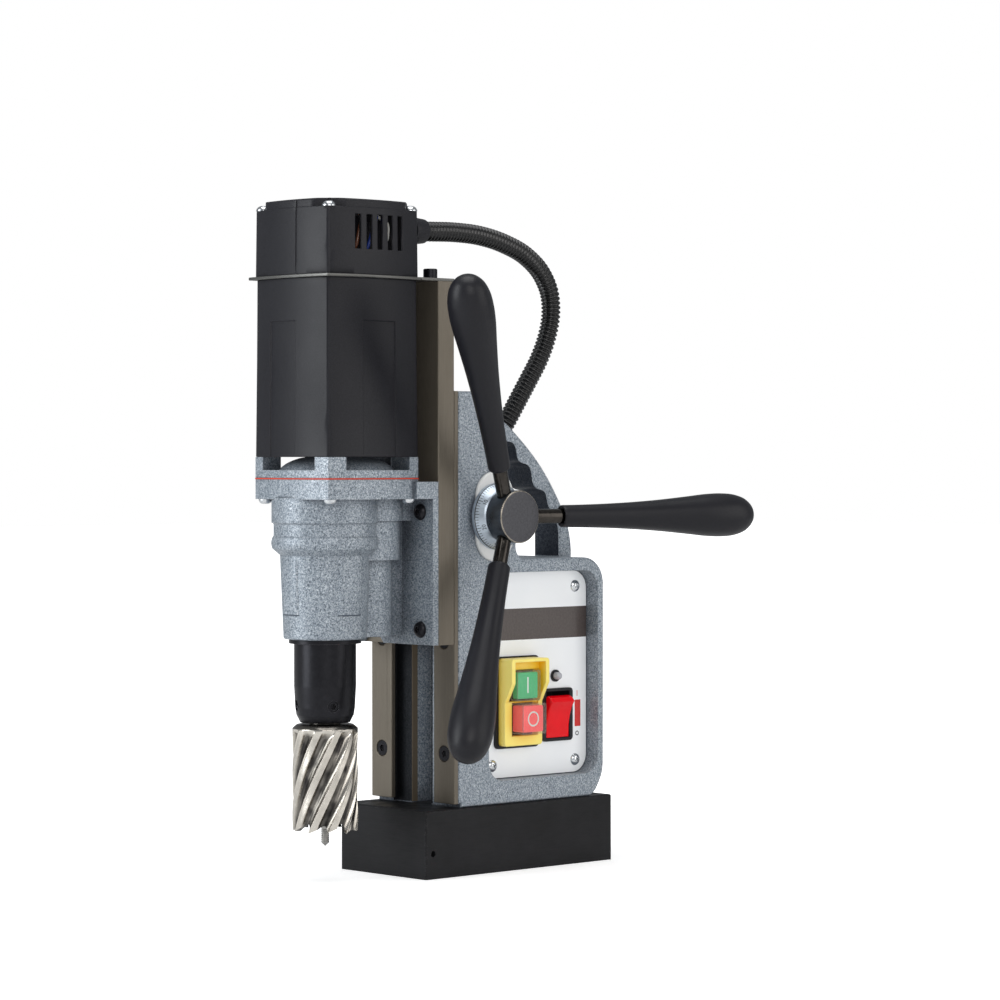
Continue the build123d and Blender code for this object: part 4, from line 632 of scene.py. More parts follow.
def turned(name, profile, origin, axis, segments, mats, body,
           sharp=40, closed=False, bands=None, hide=()):
    """A lathe piece. Profile points are (distance along the axis, radius).

    closed joins the last point to the first; bands has one material number per band.
    """
    origin, axis = Vector(origin), Vector(axis).normalized()
    across = axis.orthogonal().normalized()
    third = axis.cross(across)
    verts, rings = [], []
    for along, radius in profile:
        center = origin + axis * along
        if radius < 1e-6:
            points = [tuple(center)]
        else:
            angles = [2 * math.pi * k / segments for k in range(segments)]
            points = [tuple(center + (across * math.cos(angle) + third * math.sin(angle))
                            * radius) for angle in angles]
        add_ring(verts, rings, points)
    faces = ring_faces(rings + rings[:1] if closed else rings)
    face_mats = bands and [number for number in bands for _ in range(segments)]
    build(name, (verts, faces), mats, body, sharp, face_mats, hide)


def corner_curve(start, corner, end, steps=4):
    """Quadratic curve that rounds a corner."""
    fractions = [k / steps for k in range(steps + 1)]
    return [tuple((1 - t) ** 2 * start + 2 * t * (1 - t) * corner + t * t * end)
            for t in fractions]


def toward(start, target, distance):
    return start + (target - start) / np.linalg.norm(target - start) * distance


def round_corners(points, radius):
    """Open polyline with its inner corners rounded."""
    points = [np.array(point, float) for point in points]
    rounded = [tuple(points[0])]
    for before, corner, after in zip(points, points[1:], points[2:]):
        rounded += corner_curve(toward(corner, before, radius), corner,
                                toward(corner, after, radius))
    return rounded + [tuple(points[-1])]


def inset_loop(points, depth):
    """Counter-clockwise loop moved inwards along its corner normals."""
    count = len(points)
    moved = []
    for i in range(count):
        before, here, after = (np.array(points[(i + j) % count], float) for j in (-1, 0, 1))
        coming, going = here - before, after - here
        coming = coming / (np.linalg.norm(coming) + 1e-12)
        going = going / (np.linalg.norm(going) + 1e-12)
        normal = np.array([-coming[1], coming[0]])
        miter = normal + np.array([-going[1], going[0]])
        # very sharp turns keep the plain sum of both normals
        if np.dot(miter, normal) > 0.2:
            miter = miter / (np.dot(miter, normal) + 1e-9)
        moved.append(tuple(here + miter * depth))
    return moved


def round_rect(center_x, center_y, width, height, radius):
    steps = 6
    points = []
    for side_x, side_y, start in ((1, -1, -90), (1, 1, 0), (-1, 1, 90), (-1, -1, 180)):
        x = center_x + side_x * (width / 2 - radius)
        y = center_y + side_y * (height / 2 - radius)
        for k in range(steps + 1):
            angle = math.radians(start + 90 * k / steps)
            points.append((x + radius * math.cos(angle), y + radius * math.sin(angle)))
    return points


def facing_right(y, z, height):
    """Outline in (Y, Z), height along X."""
    return (height, y, z)


def facing_up(x, y, height):
    return (x, y, height)


def prism(outline, low, high, edge, steps=3, place=facing_right, shape=None):
    """Slab with rounded rims, added to shape where one is given."""
    verts, faces = shape or ([], [])
    angles = [math.pi / 2 * k / steps for k in range(steps + 1)]
    rows = [(edge * (1 - math.sin(a)), low + edge * (1 - math.cos(a))) for a in angles]
    rows += [(edge * (1 - math.cos(a)), high - edge * (1 - math.sin(a))) for a in angles]
    rings = []
    for inset, height in rows:
        add_ring(verts, rings, [place(*point, height) for point in inset_loop(outline, inset)])
    faces += ring_faces(rings) + [tuple(reversed(rings[0])), tuple(rings[-1])]
    return verts, faces


def smooth_path(points, start_tangent, end_tangent, step):
    """Hermite path resampled at even arc length: (points, tangents, length)."""
    points = np.array(points, float)
    count = len(points)
    chord = np.linalg.norm(np.diff(points, axis=0), axis=1)
    tangents = np.zeros_like(points)
    for i in range(1, count - 1):
        coming = (points[i] - points[i - 1]) / chord[i - 1]
        going = (points[i + 1] - points[i]) / chord[i]
        tangents[i] = (coming * chord[i] + going * chord[i - 1]) / (chord[i] + chord[i - 1])
    tangents[0] = np.array(start_tangent, float) / np.linalg.norm(start_tangent)
    tangents[-1] = np.array(end_tangent, float) / np.linalg.norm(end_tangent)
    dense = []
    for i in range(count - 1):
        for k in range(40):
            t = k / 40
            dense.append((2 * t**3 - 3 * t**2 + 1) * points[i]
                         + (t**3 - 2 * t**2 + t) * chord[i] * tangents[i]
                         + (-2 * t**3 + 3 * t**2) * points[i + 1]
                         + (t**3 - t**2) * chord[i] * tangents[i + 1])
    dense = np.array(dense + [points[-1]])
    steps = np.linalg.norm(np.diff(dense, axis=0), axis=1)
    travel = np.concatenate([[0], np.cumsum(steps)])
    length = travel[-1]
    even = np.linspace(0, length, max(2, int(round(length / step))) + 1)
    path = np.stack([np.interp(even, travel, dense[:, j]) for j in range(3)], axis=1)
    slopes = np.gradient(path, axis=0)
    slopes /= np.linalg.norm(slopes, axis=1)[:, None]
    return path, slopes, length


def sweep(path, tangents, normal, segments, radii):
    """Round tube along a path; the two end centres are the last vertices."""
    verts, rings = [], []
    for center, tangent, radius in zip(path, tangents, radii):
        tangent = Vector(tangent)
        normal = (normal - tangent * normal.dot(tangent)).normalized()
        side = tangent.cross(normal)
        angles = [2 * math.pi * k / segments for k in range(segments)]
        add_ring(verts, rings, [
            tuple(Vector(center) + (normal * math.cos(a) + side * math.sin(a)) * radius)
            for a in angles])
    start, end = len(verts), len(verts) + 1
    verts += [tuple(path[0]), tuple(path[-1])]
    return verts, ring_faces([[start]] + rings + [[end]])


# ---------------------------------------------------------------------------
# Annular cutter and its centring pin
# ---------------------------------------------------------------------------
TEETH = 10
STEPS_PER_TOOTH = 44
TWIST = math.radians(86.0) / 62.0     # turn of the flutes per millimetre of height
FLUTED_GAP = 2.5                      # fluted rows stop this far below the body's top
LAND_END, FLUTE_START = 0.055, 0.36   # as fractions of a tooth pitch
STEP_BACK = 0.28                      # depth of the ground step behind the land
FLUTE_DEPTH = 2.55
LIP_END = 0.40                        # end of the rising lip, fraction of a pitch
LIP_RISE = 2.6


def flute_depth(part):
    """Depth below the full radius at a fraction of one pitch."""
    if part < LAND_END:
        return 0.0
    if part < FLUTE_START:
        return STEP_BACK * min(1.0, (part - LAND_END) / 0.03)
    across = (part - FLUTE_START) / (1 - FLUTE_START)
    if across < 0.10:
        return STEP_BACK + (FLUTE_DEPTH - STEP_BACK) * (across / 0.10) ** 0.8
    if across < 0.62:
        return FLUTE_DEPTH + 0.55 * math.sin(math.pi * (across - 0.10) / 0.52)
    return FLUTE_DEPTH * math.cos((across - 0.62) / 0.38 * math.pi / 2) ** 0.75


def tooth_height(part, tooth):
    """Height of the end face above the lowest tip; odd teeth are shorter."""
    low = 0.0 if tooth % 2 == 0 else 0.9
    if part < LIP_END:
        return low + LIP_RISE * part / LIP_END
    across = (part - LIP_END) / (1 - LIP_END)
    gash = LIP_RISE * math.sin(math.pi * across) ** 0.8 * (1 - 0.25 * across)
    return low + LIP_RISE + gash - LIP_RISE * across ** 3


def make_cutter():
    """Helical flutes, ground lands, gashed teeth, a plain shank and a hollow core."""
    low, high = mm_box("annular_cutter")
    center_x, center_y = box_axis(low, high)
    radius = (high[0] - low[0]) / 2
    tip, top = low[2], high[2]
    body_top = tip + CUTTER_BODY
    fluted_top = body_top - FLUTED_GAP
    core_radius = radius * 0.765
    core_roof = tip + 53.5
    top_turn = TWIST * (fluted_top - tip)
    segments = TEETH * STEPS_PER_TOOTH
    stations = [(2 * math.pi * j / segments, (j % STEPS_PER_TOOTH) / STEPS_PER_TOOTH,
                 j // STEPS_PER_TOOTH) for j in range(segments)]
    verts, rings = [], []

    def point(reach, angle, z):
        return (center_x + reach * math.cos(angle), center_y + reach * math.sin(angle), z)

    def end_face(part, tooth, lip_lift=0.0, gash_lift=0.0):
        lift = lip_lift if part < LIP_END else gash_lift
        return tip + tooth_height(part, tooth) + lift

    # fluted outside, from the teeth up
    for rise in np.linspace(0, 1, 70):
        points = []
        for turn, part, tooth in stations:
            bottom = end_face(part, tooth)
            z = bottom + (fluted_top - bottom) * rise
            fade = min(1.0, max(0.0, (body_top - FLUTE_TOP_GAP - z) / 5.5))
            fade = fade * fade * (3 - 2 * fade)
            points.append(point(radius - flute_depth(part) * fade,
                                turn + TWIST * (z - tip), z))
        add_ring(verts, rings, points)
    # chamfer, shank, bore of the shank and roof of the core: (z, radius)
    for z, reach in ((body_top - 2.2, radius - 0.10), (body_top - 0.3, radius - 2.3),
                     (body_top, radius - 2.75), (body_top, 12.2), (body_top, 9.9),
                     (body_top + 0.35, 9.5), (top - 0.4, 9.5), (top, 9.1), (top, 3.3),
                     (core_roof, 3.3), (core_roof, core_radius - 1.0),
                     (core_roof - 1.0, core_radius)):
        add_ring(verts, rings, [point(reach, turn + top_turn, z) for turn, _, _ in stations])
    # wall of the core, back down to the teeth
    for rise in np.linspace(1, 0, 14)[1:]:
        points = []
        for turn, part, tooth in stations:
            bottom = end_face(part, tooth, lip_lift=0.7, gash_lift=0.2)
            z = bottom + (core_roof - 1.0 - bottom) * rise
            flare = 0.0 if part < 0.42 else 0.55 * (1 - min(1.0, (z - bottom) / 9.0))
            angle = turn + TWIST * (z - tip) * (1 - rise) + top_turn * rise
            points.append(point(core_radius + flare, angle, z))
        add_ring(verts, rings, points)
    # stepped tooth face between core and outside
    points = []
    for turn, part, tooth in stations:
        z = end_face(part, tooth, lip_lift=0.55, gash_lift=0.1)
        points.append(point((core_radius + radius) / 2 - 0.35, turn + TWIST * (z - tip), z))
    add_ring(verts, rings, points)
    build("cutter_fluted", (verts, ring_faces(rings + rings[:1])), "cutter", "spindle",
          sharp=38, hide=("annular_cutter",))


def make_pilot():
    """Centring pin: short cone, then fine grooves."""
    low, high = mm_box("pilot_pin")
    length = high[2] - low[2]
    radius = 2.45
    groove_floor = radius - 0.28
    first_groove, groove_pitch, grooves = 3.1, 1.15, 7
    profile = [(0.0, 0.0), (0.15, 0.14), (2.0, 2.05), (2.25, 2.3), (2.6, radius)]
    for k in range(grooves):
        start = first_groove + groove_pitch * k
        profile += [(start, radius), (start + 0.18, groove_floor),
                    (start + 0.55, groove_floor), (start + 0.73, radius)]
    profile += [(11.2, radius), (length - 0.2, radius), (length, radius - 0.2), (length, 0.0)]
    turned("pilot_turned", profile, (*box_axis(low, high), low[2]), (0, 0, 1), 48, "gear",
           "pilot_pin", sharp=30, hide=("pilot_pin",))


# ---------------------------------------------------------------------------
# Corrugated conduit
# ---------------------------------------------------------------------------
# (x, y, z) along the centre line, from the motor cap back and down to the frame
HOSE_PATH = [
    (20, -79.0, 397.3), (20, -70.0, 397.3), (19.85, -60.9, 397.45), (18.3, -36.7, 398.1),
    (16.9, -14.2, 397.1), (15.4, 8.6, 393.0), (13.8, 28.8, 386.0), (12.3, 43.4, 376.1),
    (10.8, 52.3, 363.7), (9.2, 55.2, 350.0), (7.7, 53.0, 335.1), (6.2, 47.6, 321.2),
    (4.6, 40.2, 308.3), (3.1, 32.4, 295.5), (1.5, 25.6, 283.8), (0.2, 20.9, 275.6)]
# the two ends of that path, in metres
HOSE_FRAME_END = (0.0002, 0.0209, 0.2756)
HOSE_CAP_END = (0.020, -0.079, 0.3973)
RIB_PITCH = 2.75
RIB_RADII = [5.15, 5.3, 5.85, 6.15, 6.2, 6.15, 5.85, 5.3]   # over one pitch


def make_hose():
    path, tangents, length = smooth_path(HOSE_PATH, (0, 1, 0), (-0.03, -0.45, -0.89),
                                         RIB_PITCH / len(RIB_RADII))
    segments = 30
    radii = [RIB_RADII[i % len(RIB_RADII)] for i in range(len(path))]
    shape = sweep(path, tangents, Vector((1, 0, 0)), segments, radii)
    piece = build("conduit_corrugated", shape, "hose", None, sharp=60,
                  hide=("hose",))
    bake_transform(piece, "frame", "carriage", start=HOSE_FRAME_END, end=HOSE_CAP_END)
    # share of the carriage's motion: held near both fittings, eased in between
    weights = []
    for travel in np.linspace(0, length, len(path)):
        t = min(1.0, max(0.0, (travel - 22.0) / (length - 34.0)))
        weights += [1 - t * t * (3 - 2 * t)] * segments
    weights += [1.0, 0.0]
    attribute = piece.data.attributes["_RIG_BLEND"]
    attribute.data.foreach_set("value", np.array(weights, np.float32))


# ---------------------------------------------------------------------------
# Handle grips and rods
# ---------------------------------------------------------------------------
SPOKE_ROOT = (51.9, HANDLE_Y, HANDLE_Z)
SPOKE_TILT = math.radians(17.27)      # lean of the spokes towards +X
SPOKES = (("rear", 0.0), ("upper", 120.0), ("lower", 240.0))
ROD_RADIUS = 4.6
ROD_ENDS = (9.8, 39.8)
# (distance from the spoke root, radius)
GRIP_PROFILE = [
    (36.7, 6.9), (50.0, 7.1), (62.8, 7.45), (84.2, 8.4), (105.6, 9.9), (127.0, 12.0),
    (141.0, 13.45), (151.0, 13.75), (160.0, 12.9), (167.0, 10.4), (171.8, 5.9), (173.4, 0.0)]
# rolled mouth of the grip where the rod enters, same columns
GRIP_MOUTH = [
    (40.0, 0.0), (40.0, 4.64), (37.6, 4.64), (37.3, 4.9), (37.2, 5.4), (36.9, 5.75),
    (36.7, 6.1), (36.75, 6.5), (37.1, 6.82), (37.8, 6.93)]


def make_grips():
    path, _, _ = smooth_path([(along, radius, 0) for along, radius in GRIP_PROFILE],
                             (1.0, 0.015, 0), (0.0, -1.0, 0), 1.5)
    grip = GRIP_MOUTH + [(float(p[0]), float(p[1])) for p in path if p[0] > 39.0]
    start, end = ROD_ENDS
    tiny = 0.01
    rod = round_corners([(start, tiny), (start, ROD_RADIUS), (end, ROD_RADIUS), (end, tiny)],
                        radius=0.25)
    rod = [(start, 0.0)] + rod + [(end, 0.0)]
    for name, degrees in SPOKES:
        angle = math.radians(degrees)
        axis = (math.sin(SPOKE_TILT), math.cos(SPOKE_TILT) * math.cos(angle),
                math.cos(SPOKE_TILT) * math.sin(angle))
        turned("grip_moulding_" + name, grip, SPOKE_ROOT, axis, 72, "grip", "handle",
               hide=("grip_" + name,))
        turned("rod_" + name, rod, SPOKE_ROOT, axis, 64, "rod", "handle",
               hide=("spoke_" + name,))


# ---------------------------------------------------------------------------
# Motor casing and cap: bowed walls with a crease at each corner
# ---------------------------------------------------------------------------
CORNER_X, CORNER_Y = 34.5, 35.8   # corners, from the motor axis
MIDDLE_X, MIDDLE_Y = 39.2, 40.6   # middles of the bowed sides, from the motor axis
CORNER_SOFT = 1.3                 # length of side rounded off at a corner
INWARD = {"front": (0, 1), "rear": (0, -1), "right": (-1, 0), "left": (1, 0)}


def bow(place, half, depth):
    """Height of a circular bow: depth in the middle, zero at +-half."""
    radius = (half * half + depth * depth) / (2 * depth)
    return math.sqrt(radius * radius - place * place) - (radius - depth)


def casing_outline(xs, ys):
    """Loop of (x, y, side, place along the side), counter-clockwise from above."""
    xs = sorted(x for x in set(xs) if abs(x) < CORNER_X - CORNER_SOFT)
    ys = sorted(y for y in set(ys) if abs(y) < CORNER_Y - CORNER_SOFT)

    def reach_y(x):
        return CORNER_Y + bow(x, CORNER_X, MIDDLE_Y - CORNER_Y)

    def reach_x(y):
        return CORNER_X + bow(y, CORNER_Y, MIDDLE_X - CORNER_X)

    sides = [[(x, MOTOR_Y - reach_y(x), "front", x) for x in xs],
             [(reach_x(y), MOTOR_Y + y, "right", y) for y in ys],
             [(x, MOTOR_Y + reach_y(x), "rear", x) for x in reversed(xs)],
             [(-reach_x(y), MOTOR_Y + y, "left", y) for y in reversed(ys)]]
    signs = [(1, -1), (1, 1), (-1, 1), (-1, -1)]
    loop = []
    for i, (sign_x, sign_y) in enumerate(signs):
        corner = np.array((sign_x * CORNER_X, MOTOR_Y + sign_y * CORNER_Y))
        before = np.array(sides[i][-1][:2])
        after = np.array(sides[(i + 1) % 4][0][:2])
        curve = corner_curve(toward(corner, before, CORNER_SOFT), corner,
                             toward(corner, after, CORNER_SOFT))
        loop += sides[i] + [(float(x), float(y), "corner", 0.0) for x, y in curve]
    return loop


def casing_ring(loop, z, inset, cuts=None, cut_depth=0.0):
    """Outline moved inwards, further within the cuts {side: (low, high)}."""
    points = []
    for x, y, side, place in loop:
        low, high = (cuts or {}).get(side, (0, 0))
        depth = inset + (cut_depth if low < place < high else 0.0)
        corner_step = (-1 if x > 0 else 1, -1 if y > MOTOR_Y else 1)
        step_x, step_y = INWARD.get(side, corner_step)
        points.append((x + step_x * depth, y + step_y * depth, z))
    return points


def make_motor_body():
    """Casing with a shallow recess in the front, right and left walls."""
    low, high = mm_box("motor_body")
    bottom, top = low[2], high[2]
    draft = math.tan(math.radians(0.45))
    recess_top, recess_depth = 340.3, 0.75
    right = (-128.8 - MOTOR_Y, -102.8 - MOTOR_Y)
    recesses = {"front": (-16.1, 8.3), "right": right, "left": (-right[1], -right[0])}

    def beside(side):
        start, end = recesses[side]
        return [start - 0.12, start + 0.35, end - 0.35, end + 0.12]

    loop = casing_outline(list(np.linspace(-33, 33, 34)) + beside("front"),
                          list(np.linspace(-34.4, 34.4, 34)) + beside("right")
                          + beside("left"))
    # (z, inset) of the outside
    outside = [(bottom, 0.45), (bottom + 0.13, 0.2), (bottom + 0.45, 0.0)]
    outside += [(z, 0.0) for z in np.linspace(bottom + 6, recess_top - 5, 10)]
    outside += [(recess_top - 0.4, 0.0), (recess_top + 0.12, 0.0)]
    outside += [(z, 0.0) for z in np.linspace(recess_top + 5, top - 4, 4)]
    outside += [(top - 0.45, 0.0), (top - 0.13, 0.2), (top, 0.45)]
    # rims turned in, then an inner wall
    inside = [(top, 3.0), (top - 6.0, 3.2), (bottom + 6.0, 3.2), (bottom, 3.0)]
    verts, rings = [], []
    for rows, recessed in ((outside, True), (inside, False)):
        for z, inset in rows:
            cuts = recesses if recessed and z < recess_top else None
            add_ring(verts, rings, casing_ring(loop, z, inset + draft * (z - bottom),
                                               cuts, recess_depth))
    build("motor_casing", (verts, ring_faces(rings + rings[:1])), "plastic", "carriage",
          sharp=28, hide=("motor_body",))


SLOT_SPANS = [(y - 2.3, y + 2.3) for y in (-15.4, -7.0, 1.4, 9.8, 18.2)]   # from the axis
SLOT_Z = (383.1, 404.1)
# rings of the cap's crown: (share of the rim radius, how far it has become round)
CROWN_RINGS = ((0.985, 0.1), (0.96, 0.25), (0.93, 0.4), (0.88, 0.55), (0.80, 0.7),
               (0.70, 0.85), (0.55, 1.0), (0.4, 1.0), (0.2, 1.0))
CROWN_RADIUS = 38.0
CROWN_RISE = 1.5


def crown_points(rim, z):
    """Rings of the slightly domed crown, from the rim towards the middle."""
    angles = np.unwrap([math.atan2(y - MOTOR_Y, x) for x, y, _ in rim])
    # the inset makes the rim double back a little at the corners, so it is sorted
    order = np.argsort(angles, kind="stable")
    angles = angles[order]
    radii = np.array([math.hypot(x, y - MOTOR_Y) for x, y, _ in rim])[order]
    even = angles[0] + 2 * math.pi * np.arange(len(angles)) / len(angles)
    wide_angles = np.concatenate([angles - 2 * math.pi, angles, angles + 2 * math.pi])
    wide_radii = np.tile(radii, 3)
    for share, blend in CROWN_RINGS:
        turns = (1 - blend) * angles + blend * even
        rim_radii = np.interp(turns, wide_angles, wide_radii)
        reaches = share * ((1 - 0.8 * blend) * rim_radii + 0.8 * blend * CROWN_RADIUS)
        height = z + CROWN_RISE * (1 - share * share)
        yield [(float(reach * math.cos(turn)), float(MOTOR_Y + reach * math.sin(turn)), height)
               for turn, reach in zip(turns, reaches)]


def in_slot(y):
    return any(start < y < end for start, end in SLOT_SPANS)


def make_motor_cap():
    """Cap with air slots on both sides, cut corners, a front seam and a domed crown."""
    low, high = mm_box("motor_cap")
    bottom, top = low[2], high[2]
    slot_low, slot_high = SLOT_Z
    draft = math.tan(math.radians(0.5))
    seam, seam_half, seam_depth = 9.6, 0.5, 0.55
    corner_limit = 42.4 * math.sqrt(2)    # greatest |x| + |y| above the shoulders
    crown_z = top - 3.1
    wall, thin_above, thin_share = 2.4, 405.8, 0.12

    xs = list(np.linspace(-33, 33, 34))
    xs += [seam + step for step in (-0.75, -0.45, 0.45, 0.75, 1.3, 1.6)]
    ys = list(np.linspace(-34.4, 34.4, 20))
    for start, end in SLOT_SPANS:
        ys += [start, end, start - 0.35, end + 0.35]
    loop = casing_outline(xs, [y for y in ys if not in_slot(y)])

    # (z, inset, corners cut)
    rows = [(bottom, 0.4, False), (bottom + 0.12, 0.15, False), (bottom + 0.4, 0.0, False)]
    rows += [(z, 0.0, False) for z in (
        bottom + 5, bottom + 10, slot_low - 0.35, slot_low, (slot_low + slot_high) / 2,
        slot_high, slot_high + 0.35, CAP_SHOULDER_Z - 1.6, CAP_SHOULDER_Z - 0.35)]
    rows += [(CAP_SHOULDER_Z, 0.3, False), (CAP_SHOULDER_Z, 0.35, True),
             (CAP_SHOULDER_Z + 0.6, 0.35, True), (crown_z - 1.1, 0.35, True),
             (crown_z - 0.35, 0.55, True), (crown_z + 0.25, 1.15, True),
             (crown_z + 0.6, 2.2, True)]
    verts, rings = [], []
    for z, inset, cut in rows:
        cuts = None
        if bottom + 0.5 < z < top - 3.2:
            cuts = {"front": (seam - seam_half, seam + seam_half)}
        points = casing_ring(loop, z, inset + draft * (z - bottom), cuts, seam_depth)
        if cut:
            for i, (x, y, _) in enumerate(points):
                shrink = min(1.0, corner_limit / (abs(x) + abs(y - MOTOR_Y)))
                points[i] = (x * shrink, MOTOR_Y + (y - MOTOR_Y) * shrink, z)
        add_ring(verts, rings, points)
    for points in crown_points(points, crown_z + 0.6):
        add_ring(verts, rings, points)
    add_ring(verts, rings, [(0.0, MOTOR_Y, crown_z + 0.6 + CROWN_RISE)])

    # open the slots on both sides
    faces = []
    for face in ring_faces(rings):
        x, y, z = np.mean([verts[i] for i in face], axis=0)
        if not (abs(x) > 34.0 and slot_low < z < slot_high and in_slot(y - MOTOR_Y)):
            faces.append(face)
    piece = build("motor_cap_shell", (verts, faces), "plastic", "carriage",
                  sharp=28, hide=("motor_cap",))
    solid = piece.modifiers.new("wall", "SOLIDIFY")
    solid.thickness = wall * MM
    solid.offset = -1.0
    solid.use_rim = True
    solid.use_even_offset = False
    group = piece.vertex_groups.new(name="wall")
    lower = [v.index for v in piece.data.vertices if v.co.z < thin_above * MM]
    upper = [v.index for v in piece.data.vertices if v.co.z >= thin_above * MM]
    group.add(lower, 1.0, "REPLACE")
    group.add(upper, thin_share, "REPLACE")
    solid.vertex_group = "wall"
    solid.thickness_vertex_group = 0.0


LEAD_RADIUS = 1.15
# (name, material, points along the lead)
LEADS = (
    ("lead_blue", "wire_blue", [(30, -122, 378), (33, -120, 386), (33.5, -117, 396),
                                (31, -112, 403), (24, -108, 405)]),
    ("lead_white", "wire_white", [(29, -110, 378), (32.5, -108, 384), (33, -105, 392),
                                  (30, -103, 400), (22, -103, 404)]),
    ("lead_brown", "wire_brown", [(28, -130, 378), (33, -130, 385), (33.5, -128, 394),
                                  (31, -124, 402), (24, -119, 405)]),
    ("lead_grey", "wire_white", [(-29, -112, 378), (-33, -110, 386), (-33, -118, 396),
                                 (-28, -123, 402), (-20, -124, 404)]),
)


def make_cap_insides():
    """Board and leads that show through the air slots."""
    board = prism(round_rect(0, MOTOR_Y, 44, 46, 3), 376, 379, edge=0.4, place=facing_up)
    build("suppressor_board", board, "pcb", "carriage", sharp=30)
    for name, mat, stations in LEADS:
        points = np.array(stations)
        path, tangents, _ = smooth_path(points, points[1] - points[0],
                                        points[-1] - points[-2], 1.5)
        shape = sweep(path, tangents, Vector((0, 1, 0.1)).normalized(), 12,
                      [LEAD_RADIUS] * len(path))
        build(name, shape, mat, "carriage", sharp=32)


# ---------------------------------------------------------------------------
# Handle hub and graduated dial
# ---------------------------------------------------------------------------
HANDLE_LINE = (0, HANDLE_Y, HANDLE_Z)


def make_hub():
    low, high = mm_box("handle_hub")
    back, face = low[0], high[0]
    radius = (high[2] - low[2]) / 2
    profile = [(back, 0.0), (back, radius - 0.3), (back + 0.3, radius), (back + 0.8, radius),
               (face - 0.62, radius), (face - 0.5, radius - 0.03), (face - 0.1, radius - 0.40),
               (face - 0.03, radius - 0.55), (face, radius - 0.7), (face, radius - 6),
               (face, radius - 11), (face, 0.0)]
    turned("hub_turned", profile, HANDLE_LINE, (1, 0, 0), 128, ("hubside", "edge", "hubface"),
           "handle", sharp=35, bands=[0] * 5 + [1] * 3 + [2] * 3,
           hide=("handle_hub",))


def text_mesh(text, size, extrude):
    """Centred letters in Blender's built-in face as (verts, faces)."""
    curve = bpy.data.curves.new("glyph", "FONT")
    curve.body = text
    curve.size = size
    curve.extrude = extrude
    curve.align_x = "CENTER"
    curve.align_y = "CENTER"
    curve.resolution_u = 4
    holder = bpy.data.objects.new("glyph", curve)
    scene.collection.objects.link(holder)
    bpy.context.view_layer.update()
    graph = bpy.context.evaluated_depsgraph_get()
    mesh = bpy.data.meshes.new_from_object(holder.evaluated_get(graph))
    work = bmesh.new()
    work.from_mesh(mesh)
    bmesh.ops.remove_doubles(work, verts=work.verts, dist=1e-5)
    work.verts.ensure_lookup_table()
    verts = [tuple(vert.co) for vert in work.verts]
    faces = [tuple(vert.index for vert in face.verts) for face in work.faces]
    work.free()
    bpy.data.objects.remove(holder)
    bpy.data.curves.remove(curve)
    bpy.data.meshes.remove(mesh)
    return verts, faces


def make_dial():
    """Ring with a conical scale narrowing towards +X."""
    low, high = mm_box("dial_ring")
    back, face = low[0], high[0]
    rim, nose, bore = 20.8, 16.4, 7.6     # radii
    rim_end = 43.9
    cone_x, cone_radius = rim_end + 0.35, rim - 0.36
    run = face - 0.1 - cone_x
    rise = nose + 0.1 - cone_radius
    profile = [(back, bore), (back, rim - 0.5), (back + 0.15, rim - 0.15), (back + 0.5, rim),
               (rim_end - 0.35, rim), (rim_end - 0.12, rim - 0.05),
               (rim_end + 0.06, rim - 0.20), (cone_x, cone_radius)]
    profile += [(cone_x + run * t, cone_radius + rise * t) for t in (0.25, 0.5, 0.75, 1.0)]
    profile += [(face, nose - 0.1), (face, bore)]
    turned("dial_cone", profile, HANDLE_LINE, (1, 0, 0), 160, ("dial", "dialedge"), "handle",
           sharp=30, closed=True, bands=[0] * 5 + [1] * 2 + [0] * 7,
           hide=("dial_ring",))

    # graduations and numbers, standing a hair above the cone
    slant = math.hypot(run, rise)
    divisions, per_number = 70, 10
    first_mark = math.radians(150.0)
    number_distance = 4.75

    def radius_at(distance):
        return cone_radius + rise * distance / slant

    def on_cone(distance, angle, height):
        x = cone_x + run * distance / slant - rise / slant * height
        radius = radius_at(distance) + run / slant * height
        return (x, HANDLE_Y + radius * math.cos(angle), HANDLE_Z + radius * math.sin(angle))

    verts, faces = [], []
    for i in range(divisions):
        angle = first_mark + 2 * math.pi * i / divisions
        length = 3.0 if i % per_number == 0 else (2.6 if i % 5 == 0 else 2.0)
        half_width = 0.20 if i % per_number == 0 else 0.16
        base = len(verts)
        for distance, height in ((0.1, -0.04), (0.1, 0.05), (length, 0.05), (length, -0.04)):
            half_angle = half_width / radius_at(distance)
            verts += [on_cone(distance, angle - half_angle, height),
                      on_cone(distance, angle + half_angle, height)]
        for k in range(4):
            here, after = base + 2 * k, base + 2 * ((k + 1) % 4)
            faces.append((here, here + 1, after + 1, after))
        faces.append((base, base + 2, base + 4, base + 6))
        faces.append((base + 7, base + 5, base + 3, base + 1))
    numbers = divisions // per_number
    for i in range(numbers):
        angle = first_mark + 2 * math.pi * i / numbers
        label = str((i * per_number + per_number) % divisions)
        glyph_verts, glyph_faces = text_mesh(label, size=3.7, extrude=0.04)
        base = len(verts)
        for x, y, z in glyph_verts:
            distance = number_distance - y
            verts.append(on_cone(distance, angle - x / radius_at(distance), z + 0.02))
        faces += [tuple(base + k for k in face) for face in glyph_faces]
    build("dial_graduations", (verts, faces), "ink", "handle", sharp=30)


# ---------------------------------------------------------------------------
# Switch gear on the right side
# ---------------------------------------------------------------------------
PRINT_SINK, PRINT_RISE = 0.05, 0.04   # panel marks below and above the plate


def box_middle(low, high):
    """Middle of a box in (Y, Z)."""
    return (low[1] + high[1]) / 2, (low[2] + high[2]) / 2


